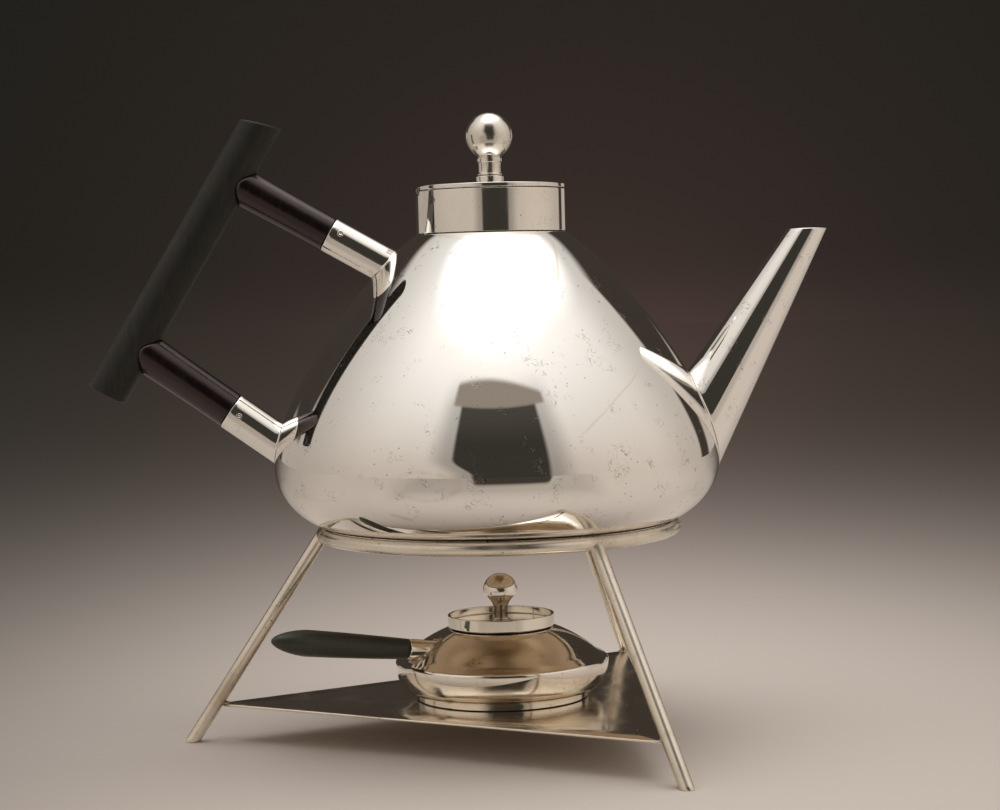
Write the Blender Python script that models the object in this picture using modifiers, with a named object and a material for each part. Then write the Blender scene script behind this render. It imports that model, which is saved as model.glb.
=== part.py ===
# Spirit kettle on a three-legged stand, with a spirit lamp on the tray below it.
# Metres, +Z up. The kettle, the ring and the lamp share one upright axis, and the spout points to +X.

import math

import bmesh
import bpy
from mathutils import Matrix, Vector
from mathutils.geometry import interpolate_bezier, intersect_point_line

# Fits and facets
seam = 0.0003
cutter_overrun = 0.006
merge_distance = 0.00001
large_steps = 40
medium_steps = 28
small_steps = 16
tiny_steps = 10
ball_points = 8
sharp_angle = 35
bisections = 40

# Stand
rod_radius = 0.00275
ring_radius = 0.0711
ring_height = 0.0840
foot_radius = 0.1271
leg_angles = {"leg_left": 180, "leg_front": -60, "leg_back": 60}
tray_height = 0.0155
tray_thickness = 0.0010

# Kettle body, with heights above its flat underside
body_radius = 0.0898
belly_height = 0.0285
base_radius = 0.0460
neck_height = 0.1210
plate_wall = 0.0012
shoulder_angle = 32
shoulder_points = 13
belly_points = 9
# How far the outline's curves keep their end directions, as shares of the body's radius
shoulder_pull_share = 0.212
belly_rise_share = 0.334
belly_drop_share = 0.150
base_spread_share = 0.340

# Collar at the neck, and the lid on it
collar_radius = 0.0302
collar_wall = 0.0010
collar_length = 0.0169
lid_thickness = 0.0018
lid_edge_round = 0.0004
bezel_wall = 0.0010
bezel_depth = 0.0050

# Flush hinge at the handle's side of the collar
hinge_inset = 0.0018
knuckle_radius = 0.0013
hinge_pin_radius = 0.0005
hinge_length = 0.0200
hinge_running_gap = 0.0002
lid_hinge_relief = 0.0004

# Lid knob
knob_radius = 0.0095
knob_height = 0.0294
knob_neck_radius = 0.0050
knob_waist_radius = 0.0039
knob_foot_radius = 0.0050
knob_base_radius = 0.00575
knob_boss_radius = 0.0068
knob_base_height = 0.0038
stud_radius = 0.0015
nut_radius = 0.0033
nut_thickness = 0.0020
nut_sides = 6

# Spout, a straight tapered tube with a level lip
spout_lip_x = 0.1284
spout_lip_height = 0.1200
spout_angle = 59
spout_lip_radius = 0.0068
spout_root_radius = 0.0147
spout_wall = 0.0009
strainer_hole_radius = 0.0019
strainer_circle_radius = 0.0068
strainer_holes_round = 6

# Handle: a grip bar on two arms, each arm in a socket on the body
grip_centre_x = -0.1241
grip_centre_height = 0.1135
grip_angle = 58.6
grip_length = 0.1254
grip_radius = 0.00825
grip_edge_round = 0.0008
grip_edge_steps = 3
socket_wall = 0.0008
arm_tenon_length = 0.0100
arm_peg_radius = 0.0035
arm_peg_past_axis = 0.0020
arm_grip_swell = 0.0005
socket_pin_radius = 0.00125
socket_pin_inset = 0.0042
socket_pin_proud = 0.0003
# Outer end of each socket, its slope, its radius and the turn of its pin
handle_arms = {
    "upper": {"x": -0.0654, "height": 0.1222, "angle": 30.2, "radius": 0.0073, "pin_turn": 20},
    "lower": {"x": -0.1069, "height": 0.0521, "angle": 36.0, "radius": 0.0078, "pin_turn": 4},
}

# Spirit lamp, with heights above its foot
lamp_radius = 0.0435
lamp_widest_height = 0.0142
lamp_top_height = 0.0282
lamp_top_radius = 0.0210
lamp_mouth_radius = 0.0165
lamp_turn_radius = 0.0385
lamp_shoulder_angle = 30
lamp_bottom_radius = 0.0345
lamp_wall = 0.0010
lamp_foot_radius = 0.0360
lamp_foot_width = 0.0030
lamp_foot_height = 0.0020
lamp_turn_points = 6
# How far the outline's curves keep their end directions, as shares of what they turn through
lamp_turn_share = 0.60
lamp_bowl_share = 0.55

# Burner in the lamp's mouth, with its wick
burner_flange_radius = 0.0190
burner_wall = 0.0008
burner_depth = 0.0055
wick_tube_radius = 0.0055
wick_tube_below = 0.0050
wick_radius = 0.0042
wick_bottom_height = 0.0030

# Snuffer cap
snuffer_radius = 0.02165
snuffer_wall = 0.0008
snuffer_height = 0.0047
snuffer_skirt = 0.0009
sleeve_radius = 0.0074
sleeve_wall = 0.0008
sleeve_length = 0.0045
snuffer_ball_radius = 0.0070
snuffer_ball_height = 0.0133
snuffer_ball_cut = 0.0018
snuffer_cone_radius = 0.0059
snuffer_cone_length = 0.0045
snuffer_stem_radius = 0.0031

# Lamp handle: an ebony baton in a ferrule
baton_turn = 205
baton_slope = 8.5
baton_reach = 0.0347
baton_height = 0.0216
ferrule_end = 0.0420
ferrule_root = 0.0220
ferrule_radius = 0.0041
ferrule_wall = 0.0007
baton_length = 0.0580
baton_radius = 0.00525
baton_tip_length = 0.0110
baton_tenon_length = 0.0100
baton_tip_points = 6


def clear_scene():
    for obj in list(bpy.data.objects):
        bpy.data.objects.remove(obj, do_unlink=True)


def new_collection(name, hidden=False):
    collection = bpy.data.collections.new(name)
    collection.hide_render = hidden
    bpy.context.scene.collection.children.link(collection)
    return collection


def new_material(name, colour, roughness, metallic):
    material = bpy.data.materials.new(name)
    material.use_nodes = True
    shader = material.node_tree.nodes["Principled BSDF"]
    shader.inputs["Base Color"].default_value = (*colour, 1)
    shader.inputs["Roughness"].default_value = roughness
    shader.inputs["Metallic"].default_value = metallic
    return material


def add_empty(name, location, parent=None):
    empty = bpy.data.objects.new(name, None)
    empty.location = location
    empty.parent = parent
    parts.objects.link(empty)
    return empty


def add_object(name, mesh, look, parent):
    """A part where look is its material, and a cutter where look is None."""
    obj = bpy.data.objects.new(name, mesh)
    obj.parent = parent
    if look:
        mesh.materials.append(look)
        parts.objects.link(obj)
    else:
        obj.hide_render = True
        obj.display_type = "WIRE"
        cutters.objects.link(obj)
    return obj


def aim(obj, point, direction):
    """Puts the object's origin at a point, with its own +Z along a direction."""
    obj.location = point
    obj.rotation_euler = Vector(direction).to_track_quat("Z", "Y").to_euler()


def turned(name, profile, steps, look, parent, closed=False, wall=0):
    """A profile of (radius, height) pairs, run down its outer side, turned about Z."""
    mesh = bpy.data.meshes.new(name)
    count = len(profile)
    edges = [(i, (i + 1) % count) for i in range(count if closed else count - 1)]
    mesh.from_pydata([(radius, 0, height) for radius, height in profile], edges, [])
    obj = add_object(name, mesh, look, parent)
    screw = obj.modifiers.new("Turn", "SCREW")
    screw.steps = screw.render_steps = steps
    screw.use_merge_vertices = True
    screw.merge_threshold = merge_distance
    if wall:
        shell = obj.modifiers.new("Wall", "SOLIDIFY")
        shell.thickness = wall
        shell.offset = -1
        shell.use_even_offset = True
    return obj


def cylinder(name, start, end, radius, steps, look, parent):
    start, end = Vector(start), Vector(end)
    mesh = bpy.data.meshes.new(name)
    bm = bmesh.new()
    depth = (end - start).length
    bmesh.ops.create_cone(
        bm, cap_ends=True, segments=steps, radius1=radius, radius2=radius, depth=depth
    )
    bm.to_mesh(mesh)
    bm.free()
    obj = add_object(name, mesh, look, parent)
    aim(obj, (start + end) / 2, end - start)
    return obj


def box(name, low, high, parent):
    """A cutter between two corners."""
    low, high = Vector(low), Vector(high)
    mesh = bpy.data.meshes.new(name)
    bm = bmesh.new()
    size = Matrix.Diagonal((high - low).to_4d())
    bmesh.ops.create_cube(bm, size=1, matrix=Matrix.Translation((low + high) / 2) @ size)
    bm.to_mesh(mesh)
    bm.free()
    return add_object(name, mesh, None, parent)


def combine(obj, other, operation="DIFFERENCE"):
    boolean = obj.modifiers.new(other.name, "BOOLEAN")
    boolean.operation = operation
    boolean.object = other


def curve_points(start, start_handle, end_handle, end, count):
    knots = [Vector((x, z)) for x, z in (start, start_handle, end_handle, end)]
    return [(point.x, point.y) for point in interpolate_bezier(*knots, count)]


def arc(centre, radius, first, last, count):
    """Points on a circle in the profile's plane, by angle in degrees from +X."""
    turns = [math.radians(first + (last - first) * i / (count - 1)) for i in range(count)]
    return [(centre[0] + radius * math.cos(t), centre[1] + radius * math.sin(t)) for t in turns]


def grown(outline, distance):
    """The outline moved outwards, for a cutter that leaves a seam round it."""
    moved = []
    for i, (x, z) in enumerate(outline):
        before = Vector(outline[max(i - 1, 0)])
        after = Vector(outline[min(i + 1, len(outline) - 1)])
        along = (after - before).normalized()
        moved.append((x - along.y * distance, z + along.x * distance))
    return moved


def solid_profile(outline, distance):
    """A closed solid's profile, from the axis round the outline and back to the axis."""
    moved = grown(outline, distance)
    top = max(height for _, height in moved)
    bottom = min(height for _, height in moved)
    return [(0, top), (moved[0][0], top), *moved[1:-1], (moved[-1][0], bottom), (0, bottom)]


def shoulder_outline():
    slope = math.radians(shoulder_angle)
    pull = shoulder_pull_share * body_radius
    start = (collar_radius, neck_height)
    leave = (start[0] + pull * math.cos(slope), start[1] - pull * math.sin(slope))
    arrive = (body_radius, belly_height + belly_rise_share * body_radius)
    return curve_points(start, leave, arrive, (body_radius, belly_height), shoulder_points)


def belly_outline():
    drop = (body_radius, belly_height - belly_drop_share * body_radius)
    spread = (base_radius + base_spread_share * body_radius, 0)
    return curve_points((body_radius, belly_height), drop, spread, (base_radius, 0), belly_points)


def lamp_outline():
    slope = math.tan(math.radians(lamp_shoulder_angle))
    turn_height = lamp_top_height - (lamp_turn_radius - lamp_top_radius) * slope
    bulge = lamp_radius - lamp_turn_radius
    widest = (lamp_radius, lamp_widest_height)
    turn = curve_points(
        (lamp_turn_radius, turn_height),
        (lamp_turn_radius + bulge * lamp_turn_share, turn_height - bulge * lamp_turn_share * slope),
        (lamp_radius, lamp_widest_height + bulge * lamp_turn_share),
        widest,
        lamp_turn_points,
    )
    base = lamp_foot_height + seam
    fall = lamp_widest_height - base
    bowl = curve_points(
        widest,
        (lamp_radius, lamp_widest_height - fall * lamp_bowl_share),
        (lamp_bottom_radius + (lamp_radius - lamp_bottom_radius) * lamp_bowl_share, base),
        (lamp_bottom_radius, base),
        lamp_turn_points,
    )
    return [(lamp_top_radius, lamp_top_height), *turn, *bowl[1:]]


def radius_at(outline, height):
    for (upper_x, upper_z), (lower_x, lower_z) in zip(outline, outline[1:]):
        if lower_z <= height <= upper_z:
            return lower_x + (upper_x - lower_x) * (height - lower_z) / (upper_z - lower_z)
    return 0


def way_to_body(outline, point, direction, reach):
    """How far a point outside travels along a direction before it meets the outline."""
    near, far = 0, reach
    for _ in range(bisections):
        middle = (near + far) / 2
        spot = Vector(point) + Vector(direction) * middle
        if spot.xy.length < radius_at(outline, spot.z):
            far = middle
        else:
            near = middle
    return near


def seat_height(outline):
    """The height of the kettle's underside when its belly rests on the ring."""
    ring = Vector((ring_radius, ring_height))
    low, high = ring_height - neck_height, ring_height
    for _ in range(bisections):
        middle = (low + high) / 2
        raised = [Vector((x, z + middle)) for x, z in outline]
        gaps = []
        for start, end in zip(raised, raised[1:]):
            near, share = intersect_point_line(ring, start, end)
            spot = near.xy if 0 < share < 1 else (start if share <= 0 else end)
            gaps.append((spot - ring).length)
        lowest = min(gaps)
        clear = radius_at([(p.x, p.y) for p in raised], ring_height) <= ring_radius
        if clear and lowest >= rod_radius + seam:
            high = middle
        else:
            low = middle
    return high


def round_vector(angle, radius=1, height=0):
    turn = math.radians(angle)
    return Vector((radius * math.cos(turn), radius * math.sin(turn), height))


def rise_vector(angle, sign):
    """A unit vector in the XZ plane, this far above the horizontal, towards +X or -X."""
    turn = math.radians(angle)
    return Vector((sign * math.cos(turn), 0, math.sin(turn)))


def make_stand(root):
    bpy.ops.mesh.primitive_torus_add(
        major_segments=large_steps,
        minor_segments=tiny_steps,
        major_radius=ring_radius,
        minor_radius=rod_radius,
    )
    ring = bpy.context.object
    ring.name = ring.data.name = "stand_ring"
    bpy.context.collection.objects.unlink(ring)
    parts.objects.link(ring)
    ring.data.materials.append(stand_silver)
    ring.parent = root
    ring.location = (0, 0, ring_height)

    section = arc((ring_radius, ring_height), rod_radius + seam, 180, -180, tiny_steps + 1)[:-1]
    ring_room = turned("ring_room", section, large_steps, None, root, closed=True)
    below = box(
        "below_floor",
        (-2 * foot_radius, -2 * foot_radius, -foot_radius),
        (2 * foot_radius, 2 * foot_radius, 0),
        root,
    )
    leg_rooms = []
    for name, angle in leg_angles.items():
        top = round_vector(angle, ring_radius, ring_height)
        foot = round_vector(angle, foot_radius)
        past = foot + (foot - top).normalized() * cutter_overrun
        leg = cylinder(name, past, top, rod_radius, small_steps, stand_silver, root)
        combine(leg, ring_room)
        combine(leg, below)
        room = cylinder(name + "_room", past, top, rod_radius + seam, small_steps, None, root)
        leg_rooms.append(room)

    # The tray is a triangle whose corners meet the legs
    share = tray_height / ring_height
    corner = foot_radius + (ring_radius - foot_radius) * share
    mesh = bpy.data.meshes.new("tray")
    bm = bmesh.new()
    bmesh.ops.create_cone(
        bm,
        cap_ends=True,
        segments=len(leg_angles),
        radius1=corner,
        radius2=corner,
        depth=tray_thickness,
    )
    first = max(bm.verts, key=lambda vertex: vertex.co.y)
    turn = math.radians(leg_angles["leg_left"]) - math.atan2(first.co.y, first.co.x)
    bmesh.ops.rotate(bm, verts=bm.verts, matrix=Matrix.Rotation(turn, 3, "Z"))
    bm.to_mesh(mesh)
    bm.free()
    tray = add_object("tray", mesh, silver, root)
    tray.location = (0, 0, tray_height - tray_thickness / 2)
    for room in leg_rooms:
        combine(tray, room)


def make_body(kettle, outline):
    mouth = (collar_radius - collar_wall, neck_height)
    body = turned(
        "kettle_body",
        [mouth, *outline, (0, 0)],
        large_steps,
        silver,
        kettle,
        wall=plate_wall,
    )
    top = neck_height + seam + collar_length
    inner = collar_radius - collar_wall
    collar = turned(
        "neck_collar",
        [
            (collar_radius, top),
            (collar_radius, neck_height + seam),
            (inner, neck_height + seam),
            (inner, top),
        ],
        large_steps,
        silver,
        kettle,
        closed=True,
    )
    return body, collar


def make_spout(kettle, outline, body, body_room):
    up = rise_vector(spout_angle, 1)
    lip = Vector((spout_lip_x, 0, spout_lip_height))
    reach = way_to_body(outline, lip, -up, body_radius)
    taper = (spout_root_radius - spout_lip_radius) / reach
    above = spout_lip_radius / math.tan(math.radians(spout_angle)) + cutter_overrun
    below = reach + 2 * spout_root_radius
    root_radius = spout_lip_radius + taper * below
    tip_radius = spout_lip_radius - taper * above
    profile = [
        (tip_radius, above),
        (root_radius, -below),
        (root_radius - spout_wall, -below),
        (tip_radius - spout_wall, above),
    ]
    spout = turned("spout", profile, medium_steps, silver, kettle, closed=True)
    aim(spout, lip, up)
    combine(spout, body_room)
    wide = 2 * spout_root_radius
    room = box(
        "above_lip",
        (spout_lip_x - wide, -wide, spout_lip_height),
        (spout_lip_x + wide, wide, spout_lip_height + wide),
        kettle,
    )
    combine(spout, room)

    # The strainer is a ring of holes through the body's wall round one in the middle
    half = spout_root_radius
    centre = lip - up * reach
    across = up.cross(Vector((0, 1, 0)))
    mesh = bpy.data.meshes.new("strainer_holes")
    bm = bmesh.new()
    turns = [None, *range(strainer_holes_round)]
    for turn in turns:
        offset = Vector()
        if turn is not None:
            angle = math.tau * turn / strainer_holes_round
            offset = across * math.cos(angle) + Vector((0, 1, 0)) * math.sin(angle)
        matrix = Matrix.Translation(centre + offset * strainer_circle_radius)
        matrix @= up.to_track_quat("Z", "Y").to_matrix().to_4x4()
        bmesh.ops.create_cone(
            bm,
            cap_ends=True,
            segments=tiny_steps,
            radius1=strainer_hole_radius,
            radius2=strainer_hole_radius,
            depth=2 * half,
            matrix=matrix,
        )
    bm.to_mesh(mesh)
    bm.free()
    combine(body, add_object("strainer_holes", mesh, None, kettle))


def make_handle(kettle, outline, body_room):
    along = rise_vector(grip_angle, 1)
    middle = Vector((grip_centre_x, 0, grip_centre_height))
    half = along * grip_length / 2
    grip = cylinder("grip_bar", middle - half, middle + half, grip_radius, medium_steps, ebony, kettle)
    edge = grip.modifiers.new("Edge", "BEVEL")
    edge.width = grip_edge_round
    edge.segments = grip_edge_steps
    edge.limit_method = "ANGLE"
    reach = grip_radius + seam
    grip_room = cylinder(
        "grip_room", middle - 2 * half, middle + 2 * half, reach, medium_steps, None, kettle
    )

    for side, values in handle_arms.items():
        radius = values["radius"]
        end = Vector((values["x"], 0, values["height"]))
        out = rise_vector(values["angle"], -1)
        # Where the arm's line crosses the grip's, both lying in the XZ plane
        cross = out.x * along.z - out.z * along.x
        gap = middle - end
        length = (gap.x * along.z - gap.z * along.x) / cross
        inner = radius - socket_wall
        tenon = inner - seam
        profile = [
            (0, length),
            (radius + arm_grip_swell, length),
            (radius - seam, seam),
            (tenon, seam),
            (tenon, -arm_tenon_length),
            (0, -arm_tenon_length),
        ]
        arm = turned(side + "_arm", profile, small_steps, ebony, kettle)
        aim(arm, end, out)
        combine(arm, grip_room)
        peg_start = end + out * (length - 2 * grip_radius)
        peg_end = end + out * (length + arm_peg_past_axis)
        peg = cylinder(side + "_peg", peg_start, peg_end, arm_peg_radius, tiny_steps, None, kettle)
        combine(arm, peg, "UNION")
        hole = cylinder(
            side + "_peg_hole",
            end + out * (length - grip_radius - cutter_overrun),
            peg_end + out * seam,
            arm_peg_radius + seam,
            tiny_steps,
            None,
            kettle,
        )
        combine(grip, hole)

        deep = way_to_body(outline, end, -out, body_radius) + 2 * radius
        socket = turned(
            side + "_socket",
            [(radius, 0), (radius, -deep), (inner, -deep), (inner, 0)],
            small_steps,
            silver,
            kettle,
            closed=True,
        )
        aim(socket, end, out)
        combine(socket, body_room)

        pin_way = Matrix.Rotation(math.radians(values["pin_turn"]), 3, out) @ Vector((0, -1, 0))
        pin_centre = end - out * socket_pin_inset
        pin_half = pin_way * (radius + socket_pin_proud)
        pin_name = side + "_socket_pin"
        cylinder(
            pin_name,
            pin_centre - pin_half,
            pin_centre + pin_half,
            socket_pin_radius,
            tiny_steps,
            silver,
            kettle,
        )
        room = cylinder(
            pin_name + "_room",
            pin_centre - 2 * pin_half,
            pin_centre + 2 * pin_half,
            socket_pin_radius + seam,
            tiny_steps,
            None,
            kettle,
        )
        combine(arm, room)
        combine(socket, room)


def knuckle(name, start, length, hinge_at, parent):
    bore = hinge_pin_radius + hinge_running_gap
    profile = [(knuckle_radius, length), (knuckle_radius, 0), (bore, 0), (bore, length)]
    obj = turned(name, profile, tiny_steps, silver, parent, closed=True)
    aim(obj, hinge_at + Vector((0, start, 0)), (0, 1, 0))


def make_lid(kettle, collar):
    collar_top = neck_height + seam + collar_length
    hinge_at = Vector((hinge_inset - collar_radius, 0, collar_top + seam / 2))
    lid = add_empty("lid", hinge_at, kettle)
    axis_x = -hinge_at.x
    under = seam / 2
    upper = under + lid_thickness
    stud_hole = stud_radius + seam

    plate = turned(
        "lid_plate",
        [
            (collar_radius - lid_edge_round, upper),
            (collar_radius, upper - lid_edge_round),
            (collar_radius, under + lid_edge_round),
            (collar_radius - lid_edge_round, under),
            (stud_hole, under),
            (stud_hole, upper),
        ],
        large_steps,
        silver,
        lid,
        closed=True,
    )
    plate.location.x = axis_x

    bezel_radius = collar_radius - collar_wall - seam
    bezel_top = under - seam
    bezel = turned(
        "lid_bezel",
        [
            (bezel_radius, bezel_top),
            (bezel_radius, bezel_top - bezel_depth),
            (bezel_radius - bezel_wall, bezel_top - bezel_depth),
            (bezel_radius - bezel_wall, bezel_top),
        ],
        large_steps,
        silver,
        lid,
        closed=True,
    )
    bezel.location.x = axis_x

    # Room for the hinge in the lid and in the collar
    room = knuckle_radius + seam
    half = hinge_length / 2 + seam
    far = 2 * collar_radius
    combine(plate, box("lid_hinge_pocket", (-far, -half, -room), (room, half, far), lid))
    combine(plate, box("lid_relief", (-far, -far, -far), (lid_hinge_relief, far, far), lid))
    combine(bezel, box("bezel_opening", (-far, -half, -far), (hinge_length / 2, half, far), lid))
    pocket = box(
        "collar_hinge_pocket",
        hinge_at + Vector((-far, -half, -room)),
        hinge_at + Vector((room, half, far)),
        kettle,
    )
    combine(collar, pocket)

    third = (hinge_length - 2 * seam) / 3
    low = -hinge_length / 2
    knuckle("collar_knuckle_front", low, third, hinge_at, kettle)
    knuckle("lid_knuckle", low + third + seam, third, Vector(), lid)
    knuckle("collar_knuckle_back", low + 2 * (third + seam), third, hinge_at, kettle)
    pin_half = Vector((0, hinge_length / 2, 0))
    cylinder(
        "hinge_pin", hinge_at - pin_half, hinge_at + pin_half, hinge_pin_radius, tiny_steps, steel, kettle
    )
    make_knob(lid, axis_x, upper, under)


def make_knob(lid, axis_x, upper, under):
    stud_hole = stud_radius + seam
    base_top = upper + knob_base_height
    boss_top = upper + knob_base_height / 2
    base = turned(
        "knob_base",
        [
            (knob_base_radius, base_top),
            (knob_base_radius, boss_top),
            (knob_boss_radius, upper + seam),
            (stud_hole, upper + seam),
            (stud_hole, base_top),
        ],
        small_steps,
        silver,
        lid,
        closed=True,
    )
    base.location.x = axis_x

    centre = upper + knob_height - knob_radius
    neck_turn = math.degrees(math.asin(knob_neck_radius / knob_radius))
    ball = arc((0, centre), knob_radius, 90, neck_turn - 90, ball_points)
    foot = base_top + seam
    neck = ball[-1][1] - knob_neck_radius / 4
    waist = (foot + neck) / 2
    nut_low = under - seam - nut_thickness
    knob = turned(
        "lid_knob",
        [
            *ball,
            (knob_neck_radius, neck),
            (knob_waist_radius, neck - knob_neck_radius / 4),
            (knob_waist_radius, waist),
            (knob_foot_radius, foot),
            (stud_radius, foot),
            (stud_radius, nut_low),
            (0, nut_low),
        ],
        small_steps,
        silver,
        lid,
    )
    knob.location.x = axis_x

    nut_hole = stud_hole / math.cos(math.pi / nut_sides)
    nut_top = under - seam
    nut = turned(
        "knob_nut",
        [(nut_radius, nut_top), (nut_radius, nut_low), (nut_hole, nut_low), (nut_hole, nut_top)],
        nut_sides,
        silver,
        lid,
        closed=True,
    )
    nut.location.x = axis_x


def make_lamp(root):
    lamp = add_empty("lamp", (0, 0, tray_height + seam), root)
    foot_inner = lamp_foot_radius - lamp_foot_width
    turned(
        "lamp_foot",
        [
            (lamp_foot_radius, lamp_foot_height),
            (lamp_foot_radius, 0),
            (foot_inner, 0),
            (foot_inner, lamp_foot_height),
        ],
        medium_steps,
        silver,
        lamp,
        closed=True,
    )
    outline = lamp_outline()
    base = outline[-1][1]
    mouth = (lamp_mouth_radius, lamp_top_height)
    turned("lamp_body", [mouth, *outline, (0, base)], medium_steps, silver, lamp, wall=lamp_wall)
    lamp_room = turned("lamp_room", solid_profile(outline, seam), medium_steps, None, lamp)

    # Burner: a plug in the lamp's mouth with a tube for the wick
    plug = lamp_mouth_radius - seam
    flange = lamp_top_height + seam
    flange_top = flange + burner_wall
    floor = flange_top - burner_depth
    tube_inner = wick_radius + seam
    tube_top = flange_top
    turned(
        "burner",
        [
            (burner_flange_radius, flange_top),
            (burner_flange_radius, flange),
            (plug, flange),
            (plug, floor - burner_wall),
            (wick_tube_radius, floor - burner_wall),
            (wick_tube_radius, floor - wick_tube_below),
            (tube_inner, floor - wick_tube_below),
            (tube_inner, tube_top),
            (wick_tube_radius, tube_top),
            (wick_tube_radius, floor),
            (plug - burner_wall, floor),
            (plug - burner_wall, flange_top),
        ],
        medium_steps,
        silver,
        lamp,
        closed=True,
    )
    wick_bottom = (0, 0, base + lamp_wall + wick_bottom_height)
    cylinder("wick", wick_bottom, (0, 0, tube_top), wick_radius, tiny_steps, cotton, lamp)
    make_snuffer(lamp, flange_top + seam)
    make_baton(lamp, lamp_room)


def make_snuffer(lamp, under):
    snuffer = add_empty("snuffer", (0, 0, under), lamp)
    inner = snuffer_radius - snuffer_wall
    low = -snuffer_skirt
    top = low + snuffer_height
    stud_hole = stud_radius + seam
    turned(
        "snuffer_dish",
        [
            (snuffer_radius, top),
            (snuffer_radius, low),
            (inner, low),
            (inner, 0),
            (stud_hole, 0),
            (stud_hole, snuffer_wall),
            (inner, snuffer_wall),
            (inner, top),
        ],
        medium_steps,
        silver,
        snuffer,
        closed=True,
    )
    turned(
        "snuffer_sleeve",
        [
            (sleeve_radius, -seam),
            (sleeve_radius, -sleeve_length),
            (sleeve_radius - sleeve_wall, -sleeve_length),
            (sleeve_radius - sleeve_wall, -seam),
        ],
        small_steps,
        silver,
        snuffer,
        closed=True,
    )
    centre = snuffer_ball_height
    cut_turn = math.degrees(math.asin(snuffer_ball_cut / snuffer_ball_radius))
    ball = arc((0, centre), snuffer_ball_radius, 90, -cut_turn, ball_points)
    cone_top = ball[-1][1]
    stem_low = snuffer_wall + seam
    turned(
        "snuffer_knob",
        [
            *ball,
            (snuffer_cone_radius, cone_top),
            (snuffer_stem_radius, cone_top - snuffer_cone_length),
            (snuffer_stem_radius, stem_low),
            (stud_radius, stem_low),
            (stud_radius, 0),
            (0, 0),
        ],
        small_steps,
        silver,
        snuffer,
    )


def make_baton(lamp, lamp_room):
    slope = math.radians(baton_slope)
    level = round_vector(baton_turn)
    out = level * math.cos(slope) + Vector((0, 0, math.sin(slope)))
    spot = level * baton_reach + Vector((0, 0, baton_height))
    end = spot + out * (ferrule_end - baton_reach) / math.cos(slope)
    inner = ferrule_radius - ferrule_wall
    deep = ferrule_end - ferrule_root
    ferrule = turned(
        "lamp_ferrule",
        [(ferrule_radius, 0), (ferrule_radius, -deep), (inner, -deep), (inner, 0)],
        small_steps,
        silver,
        lamp,
        closed=True,
    )
    aim(ferrule, end, out)
    combine(ferrule, lamp_room)

    tenon = inner - seam
    swell = baton_length - baton_tip_length
    tip = [
        (
            baton_radius * math.sin(math.pi / 2 * i / (baton_tip_points - 1)),
            swell + baton_tip_length * math.cos(math.pi / 2 * i / (baton_tip_points - 1)),
        )
        for i in range(baton_tip_points)
    ]
    baton = turned(
        "lamp_handle",
        [
            *tip,
            (ferrule_radius, seam),
            (tenon, seam),
            (tenon, -baton_tenon_length),
            (0, -baton_tenon_length),
        ],
        small_steps,
        ebony,
        lamp,
    )
    aim(baton, end, out)
    combine(baton, lamp_room)


def shade_round_pieces():
    for obj in parts.objects:
        if obj.type == "MESH" and obj.data.polygons:
            obj.data.shade_smooth()
            obj.data.set_sharp_from_angle(angle=math.radians(sharp_angle))


def centre_over_origin(root):
    """Moves the whole object so that its box is centred over the origin."""
    bpy.context.view_layer.update()
    graph = bpy.context.evaluated_depsgraph_get()
    spots = [
        part.matrix_world @ vertex.co
        for part in (obj.evaluated_get(graph) for obj in parts.objects if obj.type == "MESH")
        for vertex in part.data.vertices
    ]
    for axis in range(2):
        values = [spot[axis] for spot in spots]
        root.location[axis] = -(min(values) + max(values)) / 2
    bpy.context.view_layer.update()


clear_scene()
parts = new_collection("spirit_kettle_on_stand")
cutters = new_collection("cutters", hidden=True)
silver = new_material("silver plate", (0.86, 0.83, 0.78), 0.10, 1)
stand_silver = new_material("worn silver plate", (0.78, 0.71, 0.60), 0.16, 1)
ebony = new_material("ebony", (0.030, 0.018, 0.015), 0.32, 0)
steel = new_material("steel", (0.55, 0.55, 0.55), 0.25, 1)
cotton = new_material("cotton wick", (0.80, 0.75, 0.64), 0.95, 0)

root = add_empty("stand", (0, 0, 0))
kettle_outline = [*shoulder_outline(), *belly_outline()[1:]]
make_stand(root)
kettle = add_empty("kettle", (0, 0, seat_height(kettle_outline)), root)
# Below its widest the body's room runs straight down, past what joins the body near there
room_foot = (body_radius, -cutter_overrun)
room_profile = solid_profile([*shoulder_outline(), room_foot], seam)
body_room = turned("body_room", room_profile, large_steps, None, kettle)
kettle_body, neck_collar = make_body(kettle, kettle_outline)
make_spout(kettle, kettle_outline, kettle_body, body_room)
make_handle(kettle, kettle_outline, body_room)
make_lid(kettle, neck_collar)
make_lamp(root)
shade_round_pieces()
centre_over_origin(root)
for empty in (obj for obj in parts.objects if obj.type == "EMPTY"):
    place = empty.matrix_world.translation
    print(f"{empty.name}: {place.x:.5f} {place.y:.5f} {place.z:.5f}")
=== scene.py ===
# Spirit kettle on its stand: the finished look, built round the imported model.
# Metres, +Z up. The spout points to +X, the grip to -X and the camera looks along +Y.

import math

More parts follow.
